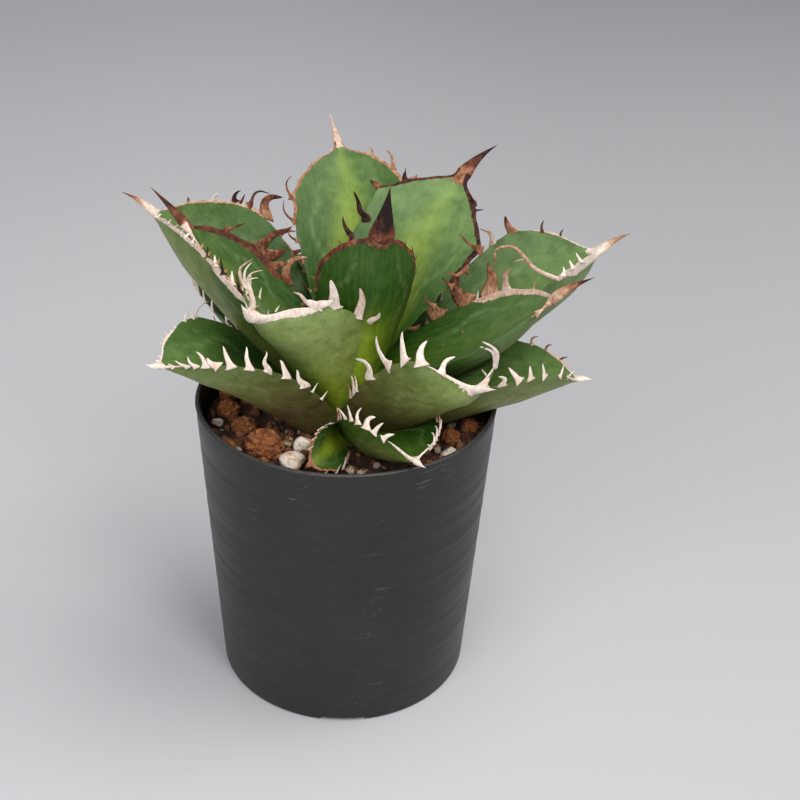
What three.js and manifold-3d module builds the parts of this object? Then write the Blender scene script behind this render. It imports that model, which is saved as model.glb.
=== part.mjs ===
// A potted agave: a rosette of thick toothed leaves on a short rooted stem, set in a gritty mix
// with loose stones on top, in a plain tapered pot.
// Millimetres, +Z up. The origin is the middle of the pot's base, at the level that it stands on.
import * as THREE from 'three';
import * as BufferGeometryUtils from 'three/addons/utils/BufferGeometryUtils.js';
import Module from 'manifold-3d';

const manifoldLibrary = await Module();
manifoldLibrary.setup();

// ---- Driving dimensions ----------------------------------------------------------------------

const CLEARANCE = 0.35; // gap kept between pieces that lie against each other

const POT_HEIGHT = 110;
const POT_RIM_RADIUS = 52.5;
const POT_FOOT_RADIUS = 45.6;
const POT_WALL = 1.7;
const POT_FLOOR_TOP = 5;
const POT_FLOOR_UNDERSIDE = 3;
const POT_FOOT_RING_WIDTH = 3.2;
const POT_CENTRE_PAD_RADIUS = 14;
const POT_EDGE_ROUNDING = 1.1;
const POT_SIDES = 44;
const DRAIN_HOLE_RADIUS = 3.5;
const DRAIN_HOLE_RING_RADIUS = 28;
const DRAIN_HOLE_COUNT = 8;
const FOOT_NOTCH_WIDTH = 16.5;
const FOOT_NOTCH_HEIGHT = 1.5;
const FOOT_NOTCH_COUNT = 4;

const POT_LIP_ROUNDING = 0.6;

const MIX_TOP = 100;
const MIX_SIDES = 24;
const MIX_UNEVENNESS = 0.7;
// The level of the mix at a few radii, measured from MIX_TOP: it rises toward the stem.
const MIX_SURFACE = [[44, 0], [33, 0], [20, 0.5], [0, 1]];

const STEM_TOP = 128;
const STEM_BOTTOM = 74;
const STEM_RADIUS = 6.5;
const ROOT_COUNT = 5;
const ROOT_RADIUS = 2;
const ROOT_REACH = 26;
const ROOT_DEEP_END = 18;

const BUD_BOTTOM = STEM_TOP - 6;
const BUD_HEIGHT = 40;
const BUD_RADIUS = 5.5;
const BUD_SPINE = 8;

const SPINE_BASE_RADIUS = 1.5;
const TEETH_FROM = 0.16; // where the teeth begin and end, from 0 at a leaf's base to 1 at its tip
const TEETH_TO = 0.92;
const TOOTH_ROOT_DEPTH = 0.9;
const STONE_SUNK = 0.35; // height of a stone's middle above the mix, as a part of its radius

const LEAF_LOOK = { color: 0x4c7040, roughness: 0.5 };
const BUD_LOOK = { color: 0x6f8f4a, roughness: 0.5 };
const STEM_LOOK = { color: 0xb9a27c, roughness: 0.85 };
const POT_LOOK = { color: 0x2b2c2f, roughness: 0.55 };
const CLAY_LOOK = { color: 0x8a4a2a, roughness: 0.95 };
const PUMICE_LOOK = { color: 0xd9cfc0, roughness: 0.95 };
const MIX_LOOK = { color: 0x4a3226, roughness: 1 };

// Leaves from the youngest, at the top of the stem, out to the oldest and lowest.
// direction: compass angle from +X, counter-clockwise, of the leaf's base; swing: how far it turns
// by the tip. rise: slope of the midrib at the base and at the tip. radius and height: where the
// base starts. fold: how far the margins stand up, at the base and at the tip, as a part of the
// half width. clasp: width of the base, as a part of the widest. widest: where along the leaf it
// is widest. taper: how full the outer end is, from 1 for straight edges to 2 for round ones.
// spine: length, lift and side lean. teeth: how many on each margin. tooth: length of the longest.
const LEAVES = [
  { name: 'leaf_01_centre_front', direction: 293, swing: -0.5, rise: [76.5, 70],
    length: 62, width: 34.5, height: 121.5, radius: 8.4, roll: -13, fold: [0.46, 0.56],
    clasp: 0.56, widest: 0.61, taper: 1.9, thickness: 10.5, spine: [19.5, -1, -2],
    teeth: 6, tooth: 4 },
  { name: 'leaf_02_upright_right', direction: 39.5, swing: -0.5, rise: [61, 41.5],
    length: 74.5, width: 42, height: 122, radius: 4.9, roll: 25, fold: [0.59, 0.07],
    clasp: 0.47, widest: 0.72, taper: 1.15, thickness: 10.5, spine: [16, -9, -11],
    teeth: 7, tooth: 5 },
  { name: 'leaf_03_upright_back', direction: 85, swing: 22.5, rise: [55, 35],
    length: 87, width: 40.5, height: 116.5, radius: 5.7, roll: -4, fold: [0.62, 0.23],
    clasp: 0.39, widest: 0.7, taper: 1.75, thickness: 10.5, spine: [13.5, 2, 1],
    teeth: 8, tooth: 4 },
  { name: 'leaf_04_inner_left', direction: 179.5, swing: -5.5, rise: [47, 52.5],
    length: 74, width: 33.5, height: 116, radius: 6.3, roll: -3.5, fold: [0.47, 0.34],
    clasp: 0.52, widest: 0.62, taper: 1.75, thickness: 10.5, spine: [16, -4, 1],
    teeth: 7, tooth: 5.5 },
  { name: 'leaf_05_inner_right', direction: 341, swing: -5, rise: [25.5, 45],
    length: 82, width: 37, height: 114.5, radius: 4.7, roll: 9.5, fold: [0.44, 0.2],
    clasp: 0.58, widest: 0.6, taper: 1.95, thickness: 10.5, spine: [14, -8, -1],
    teeth: 7, tooth: 6 },
  { name: 'leaf_06_outer_left', direction: 164.5, swing: -0.5, rise: [47, 40],
    length: 87.5, width: 49, height: 110, radius: 6.6, roll: 0.5, fold: [0.54, 0.72],
    clasp: 0.58, widest: 0.68, taper: 1.6, thickness: 11.5, spine: [11, -14, 3],
    teeth: 8, tooth: 4.5 },
  { name: 'leaf_07_front_left', direction: 227.5, swing: 4.5, rise: [62, 33],
    length: 65, width: 43.5, height: 109.5, radius: 2.1, roll: 8.5, fold: [0.53, 0.54],
    clasp: 0.62, widest: 0.65, taper: 1.85, thickness: 10.5, spine: [8, 18, 4],
    teeth: 6, tooth: 5.5 },
  { name: 'leaf_08_outer_right', direction: 19, swing: 3, rise: [18.5, 33.5],
    length: 100, width: 47.5, height: 108.5, radius: 6.8, roll: -4, fold: [0.48, 0.72],
    clasp: 0.55, widest: 0.74, taper: 1.85, thickness: 11.5, spine: [12, -12, -4],
    teeth: 9, tooth: 4 },
  { name: 'leaf_09_back_right', direction: 62, swing: 4, rise: [44, 20],
    length: 72, width: 40, height: 107, radius: 6.5, roll: 2, fold: [0.5, 0.45],
    clasp: 0.5, widest: 0.62, taper: 1.8, thickness: 11, spine: [8, -5, 0],
    teeth: 7, tooth: 4.5 },
  { name: 'leaf_10_back_left', direction: 112, swing: -4, rise: [42, 16],
    length: 66, width: 38, height: 105, radius: 6.5, roll: -2, fold: [0.5, 0.45],
    clasp: 0.5, widest: 0.62, taper: 1.8, thickness: 11, spine: [8, -5, 0],
    teeth: 7, tooth: 4.5 },
  { name: 'leaf_11_low_left_back', direction: 143.5, swing: 0.5, rise: [35, 18],
    length: 71.5, width: 27.5, height: 104, radius: 8, roll: -4.5, fold: [0.54, 0.43],
    clasp: 0.55, widest: 0.56, taper: 1.8, thickness: 10.5, spine: [3.5, 0, 0],
    teeth: 6, tooth: 4 },
  { name: 'leaf_12_front_right', direction: 319.5, swing: -12.5, rise: [47, 22],
    length: 61, width: 39, height: 102, radius: 9.4, roll: -11.5, fold: [0.51, 0.58],
    clasp: 0.58, widest: 0.8, taper: 1.85, thickness: 13, spine: [8, 1, 0],
    teeth: 7, tooth: 6 },
  { name: 'leaf_13_low_left', direction: 211, swing: 10, rise: [52.5, 15.5],
    length: 76.5, width: 41, height: 100.5, radius: 10.2, roll: -2.5, fold: [0.52, 0.48],
    clasp: 0.54, widest: 0.63, taper: 1.8, thickness: 10.5, spine: [4, 11, -2],
    teeth: 8, tooth: 5 },
  { name: 'leaf_14_low_right', direction: 350, swing: 11.5, rise: [31, 2.5],
    length: 76, width: 40, height: 100, radius: 9.2, roll: -6, fold: [0.05, 0.69],
    clasp: 0.54, widest: 0.59, taper: 1.85, thickness: 11, spine: [3, -8, -2],
    teeth: 8, tooth: 4.5 },
  { name: 'leaf_15_low_back', direction: 90, swing: 0, rise: [30, 4],
    length: 66, width: 36, height: 101, radius: 9, roll: 0, fold: [0.4, 0.5],
    clasp: 0.5, widest: 0.58, taper: 1.8, thickness: 10.5, spine: [5, 0, 0],
    teeth: 6, tooth: 4 },
  { name: 'leaf_16_low_front', direction: 294.5, swing: -2, rise: [26.5, 7.5],
    length: 48, width: 31, height: 100.5, radius: 9.7, roll: -13, fold: [0.31, 0.61],
    clasp: 0.55, widest: 0.6, taper: 1.8, thickness: 10, spine: [6, 4, 3],
    teeth: 6, tooth: 5 },
  { name: 'leaf_17_low_back_right', direction: 44, swing: 2, rise: [28, 2],
    length: 56, width: 32, height: 100, radius: 10, roll: 0, fold: [0.4, 0.5],
    clasp: 0.5, widest: 0.58, taper: 1.8, thickness: 9.5, spine: [4, 0, 0],
    teeth: 5, tooth: 3.5 },
  { name: 'leaf_18_low_back_left', direction: 128, swing: 2, rise: [28, 2],
    length: 54, width: 32, height: 99.5, radius: 10, roll: 0, fold: [0.4, 0.5],
    clasp: 0.5, widest: 0.58, taper: 1.8, thickness: 9.5, spine: [4, 0, 0],
    teeth: 5, tooth: 3.5 },
  { name: 'leaf_19_small_front', direction: 258, swing: -4, rise: [15, 18],
    length: 44, width: 14, height: 100, radius: 9.5, roll: -57, fold: [0.78, 0.19],
    clasp: 0.51, widest: 0.6, taper: 1.75, thickness: 5.5, spine: [3.5, 0, -2],
    teeth: 3, tooth: 2 },
];

// Loose stones on the mix: middle, mean radius, and how much taller or flatter than round.
const CLAY_CLUMPS = [
  [-27.5, -23.5, 7.2, 0.95], [-35.5, -8, 4.2, 0.9], [-41.5, 2.5, 4.4, 0.9], [-40, -21, 3.2, 0.8],
  [-27, -36, 2.8, 0.8], [-43, 14, 3.8, 0.8], [36, -13.5, 4.2, 0.8], [43, -5.5, 3.6, 0.8],
  [28.5, -33, 3.4, 0.8], [10, -43.5, 3.6, 0.8], [40, 21, 4.4, 0.8], [-24, 38, 4.4, 0.8],
  [22, 40, 3.8, 0.8],
];
const PUMICE_STONES = [
  [-14, -21.5, 4, 1.0], [-17.8, -32, 5, 0.8], [-44.5, -5, 2.4, 0.8], [34.5, -24.5, 3.3, 0.8],
  [2, 44, 3.6, 0.8],
];

// ---- Shared helpers --------------------------------------------------------------------------

const degrees = THREE.MathUtils.degToRad;
const mix = THREE.MathUtils.lerp;

// A solid for joining and cutting, from any closed geometry, whichever way round its faces run.
function toSolid(geometry) {
  const bare = geometry.clone();
  bare.deleteAttribute('normal');
  bare.deleteAttribute('uv');
  const merged = BufferGeometryUtils.mergeVertices(bare, 1e-4);
  const vertProperties = new Float32Array(merged.attributes.position.array);
  const triVerts = new Uint32Array(merged.index.array);
  const solidOf = (corners) => new manifoldLibrary.Manifold(
    new manifoldLibrary.Mesh({ numProp: 3, vertProperties, triVerts: corners }));
  const solid = solidOf(triVerts);
  return solid.volume() > 0 ? solid : solidOf(triVerts.reverse());
}

function toGeometry(solid) {
  const mesh = solid.getMesh();
  const geometry = new THREE.BufferGeometry();
  geometry.setAttribute('position', new THREE.BufferAttribute(mesh.vertProperties, 3));
  geometry.setIndex(new THREE.BufferAttribute(mesh.triVerts, 1));
  geometry.computeVertexNormals();
  return geometry;
}

// A plain solid with its skin moved outwards, to cut a seat that leaves a gap.
function seatOf(solid) {
  const geometry = toGeometry(solid);
  const { position, normal } = geometry.attributes;
  for (let i = 0; i < position.count; i += 1) {
    position.setXYZ(
      i,
      position.getX(i) + normal.getX(i) * CLEARANCE,
      position.getY(i) + normal.getY(i) * CLEARANCE,
      position.getZ(i) + normal.getZ(i) * CLEARANCE,
    );
  }
  return toSolid(geometry);
}

function joined(solids) {
  return solids.reduce((whole, solid) => whole.add(solid));
}

function largestPiece(solid) {
  return solid.decompose().reduce((best, piece) => (piece.volume() > best.volume() ? piece : best));
}

// A closed skin over a run of rings with equal numbers of points, ending in a flat cap at the
// first ring and in a point after the last.
function loftToPoint(rings, apex) {
  const count = rings[0].length;
  const points = [...rings.flat(), apex];
  const apexIndex = points.length - 1;
  const faces = [];
  for (let ring = 0; ring < rings.length - 1; ring += 1) {
    for (let i = 0; i < count; i += 1) {
      const a = ring * count + i;
      const b = ring * count + ((i + 1) % count);
      faces.push(a, b, b + count, a, b + count, a + count);
    }
  }
  for (let i = 0; i < count; i += 1) {
    const last = (rings.length - 1) * count;
    faces.push(last + i, last + ((i + 1) % count), apexIndex);
  }
  // The cap zips both sides of the first ring together, so that it suits a folded outline too.
  faces.push(0, count - 1, 1);
  for (let left = 1, right = count - 1; right - left > 1; left += 1, right -= 1) {
    faces.push(left, right, left + 1);
    if (right - left > 2) {
      faces.push(left + 1, right, right - 1);
    }
  }
  const geometry = new THREE.BufferGeometry().setFromPoints(points);
  geometry.setIndex(faces);
  return geometry;
}

const group = new THREE.Group();

function addPiece(name, solid, look) {
  const material = new THREE.MeshStandardMaterial({ ...look, metalness: 0 });
  const piece = new THREE.Mesh(toGeometry(solid), material);
  piece.name = name;
  group.add(piece);
}

// ---- Leaves ----------------------------------------------------------------------------------

const MIDRIB_STEPS = 40;
const RING_STEPS = [0, 6, 13, 20, 26, 31, 35, 38];
// Places across the leaf, from one margin over the upper face to the other, and back underneath.
const UPPER_PLACES = [1, 0.7, 0.35, 0, -0.35, -0.7, -1];
const LOWER_PLACES = [-0.7, -0.35, 0, 0.35, 0.7];

// How the cross-section is drawn: a margin curls in as it folds up, the faces curve between
// midrib and margin, and the keel thins toward the tip.
const CURL_IN = 0.25;
const FOLD_CURVE = 1.7;
const KEEL_CURVE = 0.7;
const KEEL_THINNING = 0.7;

// A grown blade moves out by more than its growth where the skin slopes, so that the gap it cuts
// is never less than the growth.
const GROW_SIDEWAYS = 1.5;
const GROW_MARGIN_UP = 2.6;
const GROW_FACE_UP = 1.6;
const GROW_KEEL_DOWN = 2.8;
const GROW_SPINE = 1.3;

// The midrib's points, and at each the leaf's own axes: along it, across it and up from it.
function midribFrames(leaf) {
  const [riseBase, riseTip] = leaf.rise;
  const stepLength = leaf.length / MIDRIB_STEPS;
  const frames = [];
  for (let step = 0; step <= MIDRIB_STEPS; step += 1) {
    const t = step / MIDRIB_STEPS;
    const heading = degrees(leaf.direction + leaf.swing * t ** 1.5);
    const rise = degrees(mix(riseBase, riseTip, t));
    const along = new THREE.Vector3(
      Math.cos(rise) * Math.cos(heading), Math.cos(rise) * Math.sin(heading), Math.sin(rise));
    const across = new THREE.Vector3(-Math.sin(heading), Math.cos(heading), 0);
    const up = along.clone().cross(across);
    across.applyAxisAngle(along, degrees(leaf.roll));
    up.applyAxisAngle(along, degrees(leaf.roll));
    const point = new THREE.Vector3();
    if (step === 0) {
      point.set(
        leaf.radius * Math.cos(heading), leaf.radius * Math.sin(heading), leaf.height);
    } else {
      const before = frames[step - 1];
      point.copy(before.point);
      point.addScaledVector(before.along, stepLength / 2);
      point.addScaledVector(along, stepLength / 2);
    }
    frames.push({ t, point, along, across, up });
  }
  return frames;
}

// How wide the leaf is at t, as a part of its widest: clasping base, broad middle, pointed end.
function widthProfile(leaf, t) {
  if (t < leaf.widest) {
    return mix(leaf.clasp, 1, Math.sin((t / leaf.widest) * (Math.PI / 2)) ** 1.3);
  }
  return 1 - ((t - leaf.widest) / (1 - leaf.widest)) ** leaf.taper;
}

// A point of the leaf's skin: place runs from -1 to 1 across, and the lower face is the keeled one.
// growth moves the skin outwards.
function skinPoint(leaf, frame, place, lower = false, growth = 0) {
  const halfWidth = (leaf.width / 2) * widthProfile(leaf, frame.t);
  const fold = mix(leaf.fold[0], leaf.fold[1], frame.t);
  const reach = halfWidth + GROW_SIDEWAYS * growth;
  const sideways = reach * place * (1 - CURL_IN * fold ** 2 * place ** 2);
  const onMargin = Math.abs(place) === 1;
  const raise = (onMargin ? GROW_MARGIN_UP * fold : GROW_FACE_UP) * growth;
  let height = fold * halfWidth * Math.abs(place) ** FOLD_CURVE + raise;
  if (lower) {
    const fullness = Math.min(1, (1.1 * halfWidth) / (leaf.width / 2));
    const thickness = leaf.thickness * (1 - KEEL_THINNING * frame.t) * fullness;
    height -= thickness * (1 - place ** 2) ** KEEL_CURVE;
    height -= GROW_KEEL_DOWN * growth;
  }
  return frame.point.clone()
    .addScaledVector(frame.across, sideways)
    .addScaledVector(frame.up, height);
}

function roundPoint(middle, frame, place, lower, radius) {
  const height = Math.sqrt(1 - place ** 2) * (lower ? -1 : 1);
  return middle.clone()
    .addScaledVector(frame.across, radius * place)
    .addScaledVector(frame.up, radius * height);
}

function ringOf(pointAt) {
  const upper = UPPER_PLACES.map((place) => pointAt(place, false));
  const lower = LOWER_PLACES.map((place) => pointAt(place, true));
  return [...upper, ...lower];
}

function spineTip(leaf, frames) {
  const end = frames[MIDRIB_STEPS];
  const [length, lift, lean] = leaf.spine;
  const aim = end.along.clone().multiplyScalar(Math.cos(degrees(lift)));
  aim.addScaledVector(end.up, Math.sin(degrees(lift)));
  aim.multiplyScalar(Math.cos(degrees(lean)));
  aim.addScaledVector(end.across, Math.sin(degrees(lean)));
  return end.point.clone().addScaledVector(aim, length);
}

// The blade and its end spine in one skin, from the clasping base to the spine's point.
function bladeSolid(leaf, frames, growth = 0) {
  const rings = RING_STEPS.map((step) => (
    ringOf((place, lower) => skinPoint(leaf, frames[step], place, lower, growth))));
  rings[0].forEach((point) => point.addScaledVector(frames[0].along, -growth));
  const end = frames[MIDRIB_STEPS];
  const tip = spineTip(leaf, frames);
  const spineMiddle = end.point.clone().lerp(tip, 0.5);
  for (const [middle, radius] of [[end.point, 1], [spineMiddle, 0.6]]) {
    const size = SPINE_BASE_RADIUS * radius + GROW_SPINE * growth;
    rings.push(ringOf((place, lower) => roundPoint(middle, end, place, lower, size)));
  }
  return toSolid(loftToPoint(rings, tip.lerp(spineMiddle, -growth)));
}

// A three-sided hooked tooth that stands out from the margin and leans toward the leaf's tip.
function toothSolid(leaf, frame, side, length) {
  const margin = skinPoint(leaf, frame, side);
  const inner = skinPoint(leaf, frame, side * 0.8);
  const outwards = margin.clone().sub(inner).normalize();
  const root = margin.clone().addScaledVector(outwards, -TOOTH_ROOT_DEPTH);
  const bend = margin.clone()
    .addScaledVector(outwards, length * 0.45)
    .addScaledVector(frame.up, length * 0.2);
  const point = bend.clone()
    .addScaledVector(outwards, length * 0.3)
    .addScaledVector(frame.up, length * 0.4)
    .addScaledVector(frame.along, length * 0.2);
  const face = frame.along.clone().cross(outwards).normalize();
  const ringAt = (middle, size) => [0, 1, 2].map((corner) => {
    const angle = (corner / 3) * 2 * Math.PI;
    return middle.clone()
      .addScaledVector(frame.along, size * Math.cos(angle))
      .addScaledVector(face, size * 0.7 * Math.sin(angle));
  });
  const rings = [ringAt(root, length * 0.26), ringAt(bend, length * 0.13)];
  return toSolid(loftToPoint(rings, point));
}

function teethSolids(leaf, frames) {
  const teeth = [];
  for (const side of [-1, 1]) {
    for (let i = 0; i < leaf.teeth; i += 1) {
      const along = mix(TEETH_FROM, TEETH_TO, (i + (side > 0 ? 0.35 : 0.65)) / leaf.teeth);
      const frame = frames[Math.round(along * MIDRIB_STEPS)];
      const length = leaf.tooth * (0.65 + 0.5 * Math.sin(along * Math.PI));
      teeth.push(toothSolid(leaf, frame, side, length));
    }
  }
  return teeth;
}

// ---- Stem, roots and bud ---------------------------------------------------------------------

// A tapering branch along a smooth curve, pointed at its far end.
function branchSolid(path, radiusAt, sides, steps) {
  const curve = new THREE.CatmullRomCurve3(path);
  const { tangents, normals, binormals } = curve.computeFrenetFrames(steps);
  const rings = [];
  for (let step = 0; step < steps; step += 1) {
    const middle = curve.getPointAt(step / steps);
    const radius = radiusAt(step / steps);
    const ring = [];
    for (let side = 0; side < sides; side += 1) {
      const angle = (side / sides) * 2 * Math.PI;
      ring.push(middle.clone()
        .addScaledVector(normals[step], radius * Math.cos(angle))
        .addScaledVector(binormals[step], radius * Math.sin(angle)));
    }
    rings.push(ring);
  }
  const tip = curve.getPointAt(1).addScaledVector(tangents[steps], 0.5);
  return toSolid(loftToPoint(rings, tip));
}

function latheSolid(profile, sides) {
  const points = profile.map(([radius, height]) => new THREE.Vector2(radius, height));
  const geometry = new THREE.LatheGeometry(points, sides);
  geometry.rotateX(Math.PI / 2);
  return toSolid(geometry);
}

const stemProfile = [
  [0, STEM_BOTTOM],
  [STEM_RADIUS * 0.7, STEM_BOTTOM + 2],
  [STEM_RADIUS, STEM_BOTTOM + 12],
  [STEM_RADIUS, MIX_TOP],
  [STEM_RADIUS * 0.75, STEM_TOP - 8],
  [0, STEM_TOP],
];

// The stem first, then each root: plain solids that the assembly joins.
function stemAndRootSolids() {
  const solids = [latheSolid(stemProfile, 10)];
  for (let i = 0; i < ROOT_COUNT; i += 1) {
    const heading = ((i + 0.3) / ROOT_COUNT) * 2 * Math.PI;
    const reach = ROOT_REACH + 6 * Math.sin(i * 2.1);
    const depth = ROOT_DEEP_END + 9 * Math.cos(i * 1.7);
    const at = (radius, turn, height) => new THREE.Vector3(
      radius * Math.cos(heading + turn), radius * Math.sin(heading + turn), height);
    const path = [
      at(2, 0, STEM_BOTTOM + 8),
      at(reach * 0.5, 0.1, STEM_BOTTOM - 6),
      at(reach, 0.3, mix(STEM_BOTTOM, depth, 0.5)),
      at(reach * 1.1, 0.1, depth),
    ];
    const radiusAt = (t) => ROOT_RADIUS * (1 - 0.7 * t);
    solids.push(branchSolid(path, radiusAt, 4, 5));
  }
  return solids;
}

// The rolled young leaves stand as one tight pointed spear at the top of the stem.
function budSolid() {
  const profile = [
    [0, BUD_BOTTOM],
    [BUD_RADIUS * 0.8, BUD_BOTTOM + 0.5],
    [BUD_RADIUS, BUD_BOTTOM + BUD_HEIGHT * 0.35],
    [BUD_RADIUS * 0.6, BUD_BOTTOM + BUD_HEIGHT * 0.75],
    [BUD_RADIUS * 0.22, BUD_BOTTOM + BUD_HEIGHT],
    [0, BUD_BOTTOM + BUD_HEIGHT + BUD_SPINE],
  ];
  return latheSolid(profile, 12);
}

// ---- Pot -------------------------------------------------------------------------------------

function outerWallRadius(height) {
  return mix(POT_FOOT_RADIUS, POT_RIM_RADIUS, height / POT_HEIGHT);
}

// A thin tapered wall over a raised floor, with a foot ring and a middle pad that both stand on
// the ground.
function potShellSolid() {
  const ringInner = POT_FOOT_RADIUS - POT_FOOT_RING_WIDTH;
  const innerWallRadius = (height) => outerWallRadius(height) - POT_WALL;
  return latheSolid([
    [0, 0],
    [POT_CENTRE_PAD_RADIUS, 0],
    [POT_CENTRE_PAD_RADIUS, POT_FLOOR_UNDERSIDE],
    [ringInner, POT_FLOOR_UNDERSIDE],
    [ringInner, 0],
    [POT_FOOT_RADIUS - POT_EDGE_ROUNDING, 0],
    [outerWallRadius(POT_EDGE_ROUNDING), POT_EDGE_ROUNDING],
    [outerWallRadius(POT_HEIGHT - POT_LIP_ROUNDING), POT_HEIGHT - POT_LIP_ROUNDING],
    [POT_RIM_RADIUS - POT_LIP_ROUNDING, POT_HEIGHT],
    [POT_RIM_RADIUS - POT_WALL, POT_HEIGHT],
    [innerWallRadius(POT_FLOOR_TOP), POT_FLOOR_TOP],
    [0, POT_FLOOR_TOP],
  ], POT_SIDES);
}

// The shell with drain holes through its floor and shallow notches under its foot ring.
function potSolid(shell) {
  let solid = shell;
  for (let i = 0; i < DRAIN_HOLE_COUNT; i += 1) {
    const angle = (i / DRAIN_HOLE_COUNT) * 2 * Math.PI;
    const hole = new THREE.CylinderGeometry(DRAIN_HOLE_RADIUS, DRAIN_HOLE_RADIUS, 20, 12);
    hole.rotateX(Math.PI / 2);
    hole.translate(
      DRAIN_HOLE_RING_RADIUS * Math.cos(angle), DRAIN_HOLE_RING_RADIUS * Math.sin(angle), 0);
    solid = solid.subtract(toSolid(hole));
  }
  for (let i = 0; i < FOOT_NOTCH_COUNT; i += 1) {
    const notch = new THREE.BoxGeometry(20, FOOT_NOTCH_WIDTH, FOOT_NOTCH_HEIGHT * 2);
    notch.translate(POT_FOOT_RADIUS, 0, 0);
    notch.rotateZ(((i / FOOT_NOTCH_COUNT) * 2 + 1.5) * Math.PI);
    solid = solid.subtract(toSolid(notch));
  }
  return solid;
}

// ---- Loose stones and the mix ----------------------------------------------------------------

// An irregular stone: a rounded lump pushed in and out by a few slow waves.
function stoneSolid([x, y, radius, flatness], seed, roughness) {
  const geometry = new THREE.DodecahedronGeometry(radius);
  const { position } = geometry.attributes;
  const point = new THREE.Vector3();
  for (let i = 0; i < position.count; i += 1) {
    point.fromBufferAttribute(position, i);
    const direction = point.clone().normalize();
    const wave = Math.sin(direction.x * 3.1 + seed * 1.3)
      + Math.sin(direction.y * 3.7 + seed * 2.1)
      + Math.sin(direction.z * 4.3 + seed * 0.7);
    point.multiplyScalar(1 + roughness * wave);
    position.setXYZ(i, point.x, point.y, point.z * flatness);
  }
  geometry.rotateZ(seed);
  geometry.translate(x, y, MIX_TOP + radius * flatness * STONE_SUNK);
  return toSolid(geometry);
}

// The gritty fill, with an uneven top that rises a little toward the stem.
function mixSolid() {
  const wallRadius = (height) => outerWallRadius(height) - POT_WALL - CLEARANCE;
  const bottom = POT_FLOOR_TOP + CLEARANCE;
  const edgeHeight = MIX_TOP - 1;
  const points = [
    [0, bottom],
    [wallRadius(bottom), bottom],
    [wallRadius(edgeHeight), edgeHeight],
    ...MIX_SURFACE.map(([radius, rise]) => [radius, MIX_TOP + rise]),
  ].map(([radius, height]) => new THREE.Vector2(radius, height));
  const geometry = new THREE.LatheGeometry(points, MIX_SIDES);
  geometry.rotateX(Math.PI / 2);
  const { position } = geometry.attributes;
  for (let i = 0; i < position.count; i += 1) {
    const x = position.getX(i);
    const y = position.getY(i);
    const z = position.getZ(i);
    const radius = Math.hypot(x, y);
    if (z > MIX_TOP - 0.5 && radius > 1) {
      const bump = Math.sin(x * 0.45) * Math.cos(y * 0.38) + 0.5 * Math.sin((x + y) * 0.7);
      position.setZ(i, z + MIX_UNEVENNESS * bump);
    }
  }
  return toSolid(geometry);
}

// ---- Assembly --------------------------------------------------------------------------------

const touches = (solid, others) => others.some((other) => solid.intersect(other).volume() > 0);
const cutBy = (solid, cutters) => cutters.reduce((rest, cutter) => rest.subtract(cutter), solid);

const stemAndRoots = stemAndRootSolids();
const stemSeat = joined(stemAndRoots.map(seatOf));
addPiece('stem_with_roots', joined(stemAndRoots), STEM_LOOK);

const bud = budSolid();
const budSeat = seatOf(bud);
addPiece('bud_spear', largestPiece(bud.subtract(stemSeat)), BUD_LOOK);

const potShell = potShellSolid();
const potSeat = seatOf(potShell);
addPiece('pot', potSolid(potShell), POT_LOOK);

const stones = [
  ...CLAY_CLUMPS.map((stone, i) => ({
    name: `clay_clump_${i + 1}`, solid: stoneSolid(stone, i + 1, 0.07), look: CLAY_LOOK })),
  ...PUMICE_STONES.map((stone, i) => ({
    name: `pumice_stone_${i + 1}`, solid: stoneSolid(stone, i + 21, 0.05), look: PUMICE_LOOK })),
];
const stoneSeats = stones.map((stone) => seatOf(stone.solid));
stones.forEach((stone) => addPiece(stone.name, stone.solid, stone.look));

// Each leaf gives way to the younger leaves that it clasps. A tooth grows only where it is free.
const mixFill = mixSolid();
const allFrames = LEAVES.map(midribFrames);
const blades = LEAVES.map((leaf, i) => bladeSolid(leaf, allFrames[i]));
const bladeSeats = LEAVES.map((leaf, i) => bladeSolid(leaf, allFrames[i], CLEARANCE));
const toothSeats = [];
LEAVES.forEach((leaf, i) => {
  const younger = [...bladeSeats.slice(0, i), ...blades.slice(0, i)];
  const inner = [stemSeat, budSeat, potSeat, ...stoneSeats, ...younger];
  const blade = largestPiece(cutBy(blades[i], inner));
  const otherBlades = bladeSeats.filter((seat, j) => j !== i);
  const inTheWay = [...inner, ...otherBlades, mixFill, ...toothSeats];
  const teeth = teethSolids(leaf, allFrames[i])
    .filter((tooth) => !touches(tooth, inTheWay) && touches(tooth, [blade]));
  toothSeats.push(...teeth.map(seatOf));
  addPiece(leaf.name, joined([blade, ...teeth]), LEAF_LOOK);
});

const mixCutters = [stemSeat, budSeat, ...bladeSeats, ...blades, ...stoneSeats];
addPiece('potting_mix', largestPiece(cutBy(mixFill, mixCutters)), MIX_LOOK);

export default group;
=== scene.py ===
import bpy
import bmesh
import math
import random
from mathutils import Matrix, Vector, noise


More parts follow.
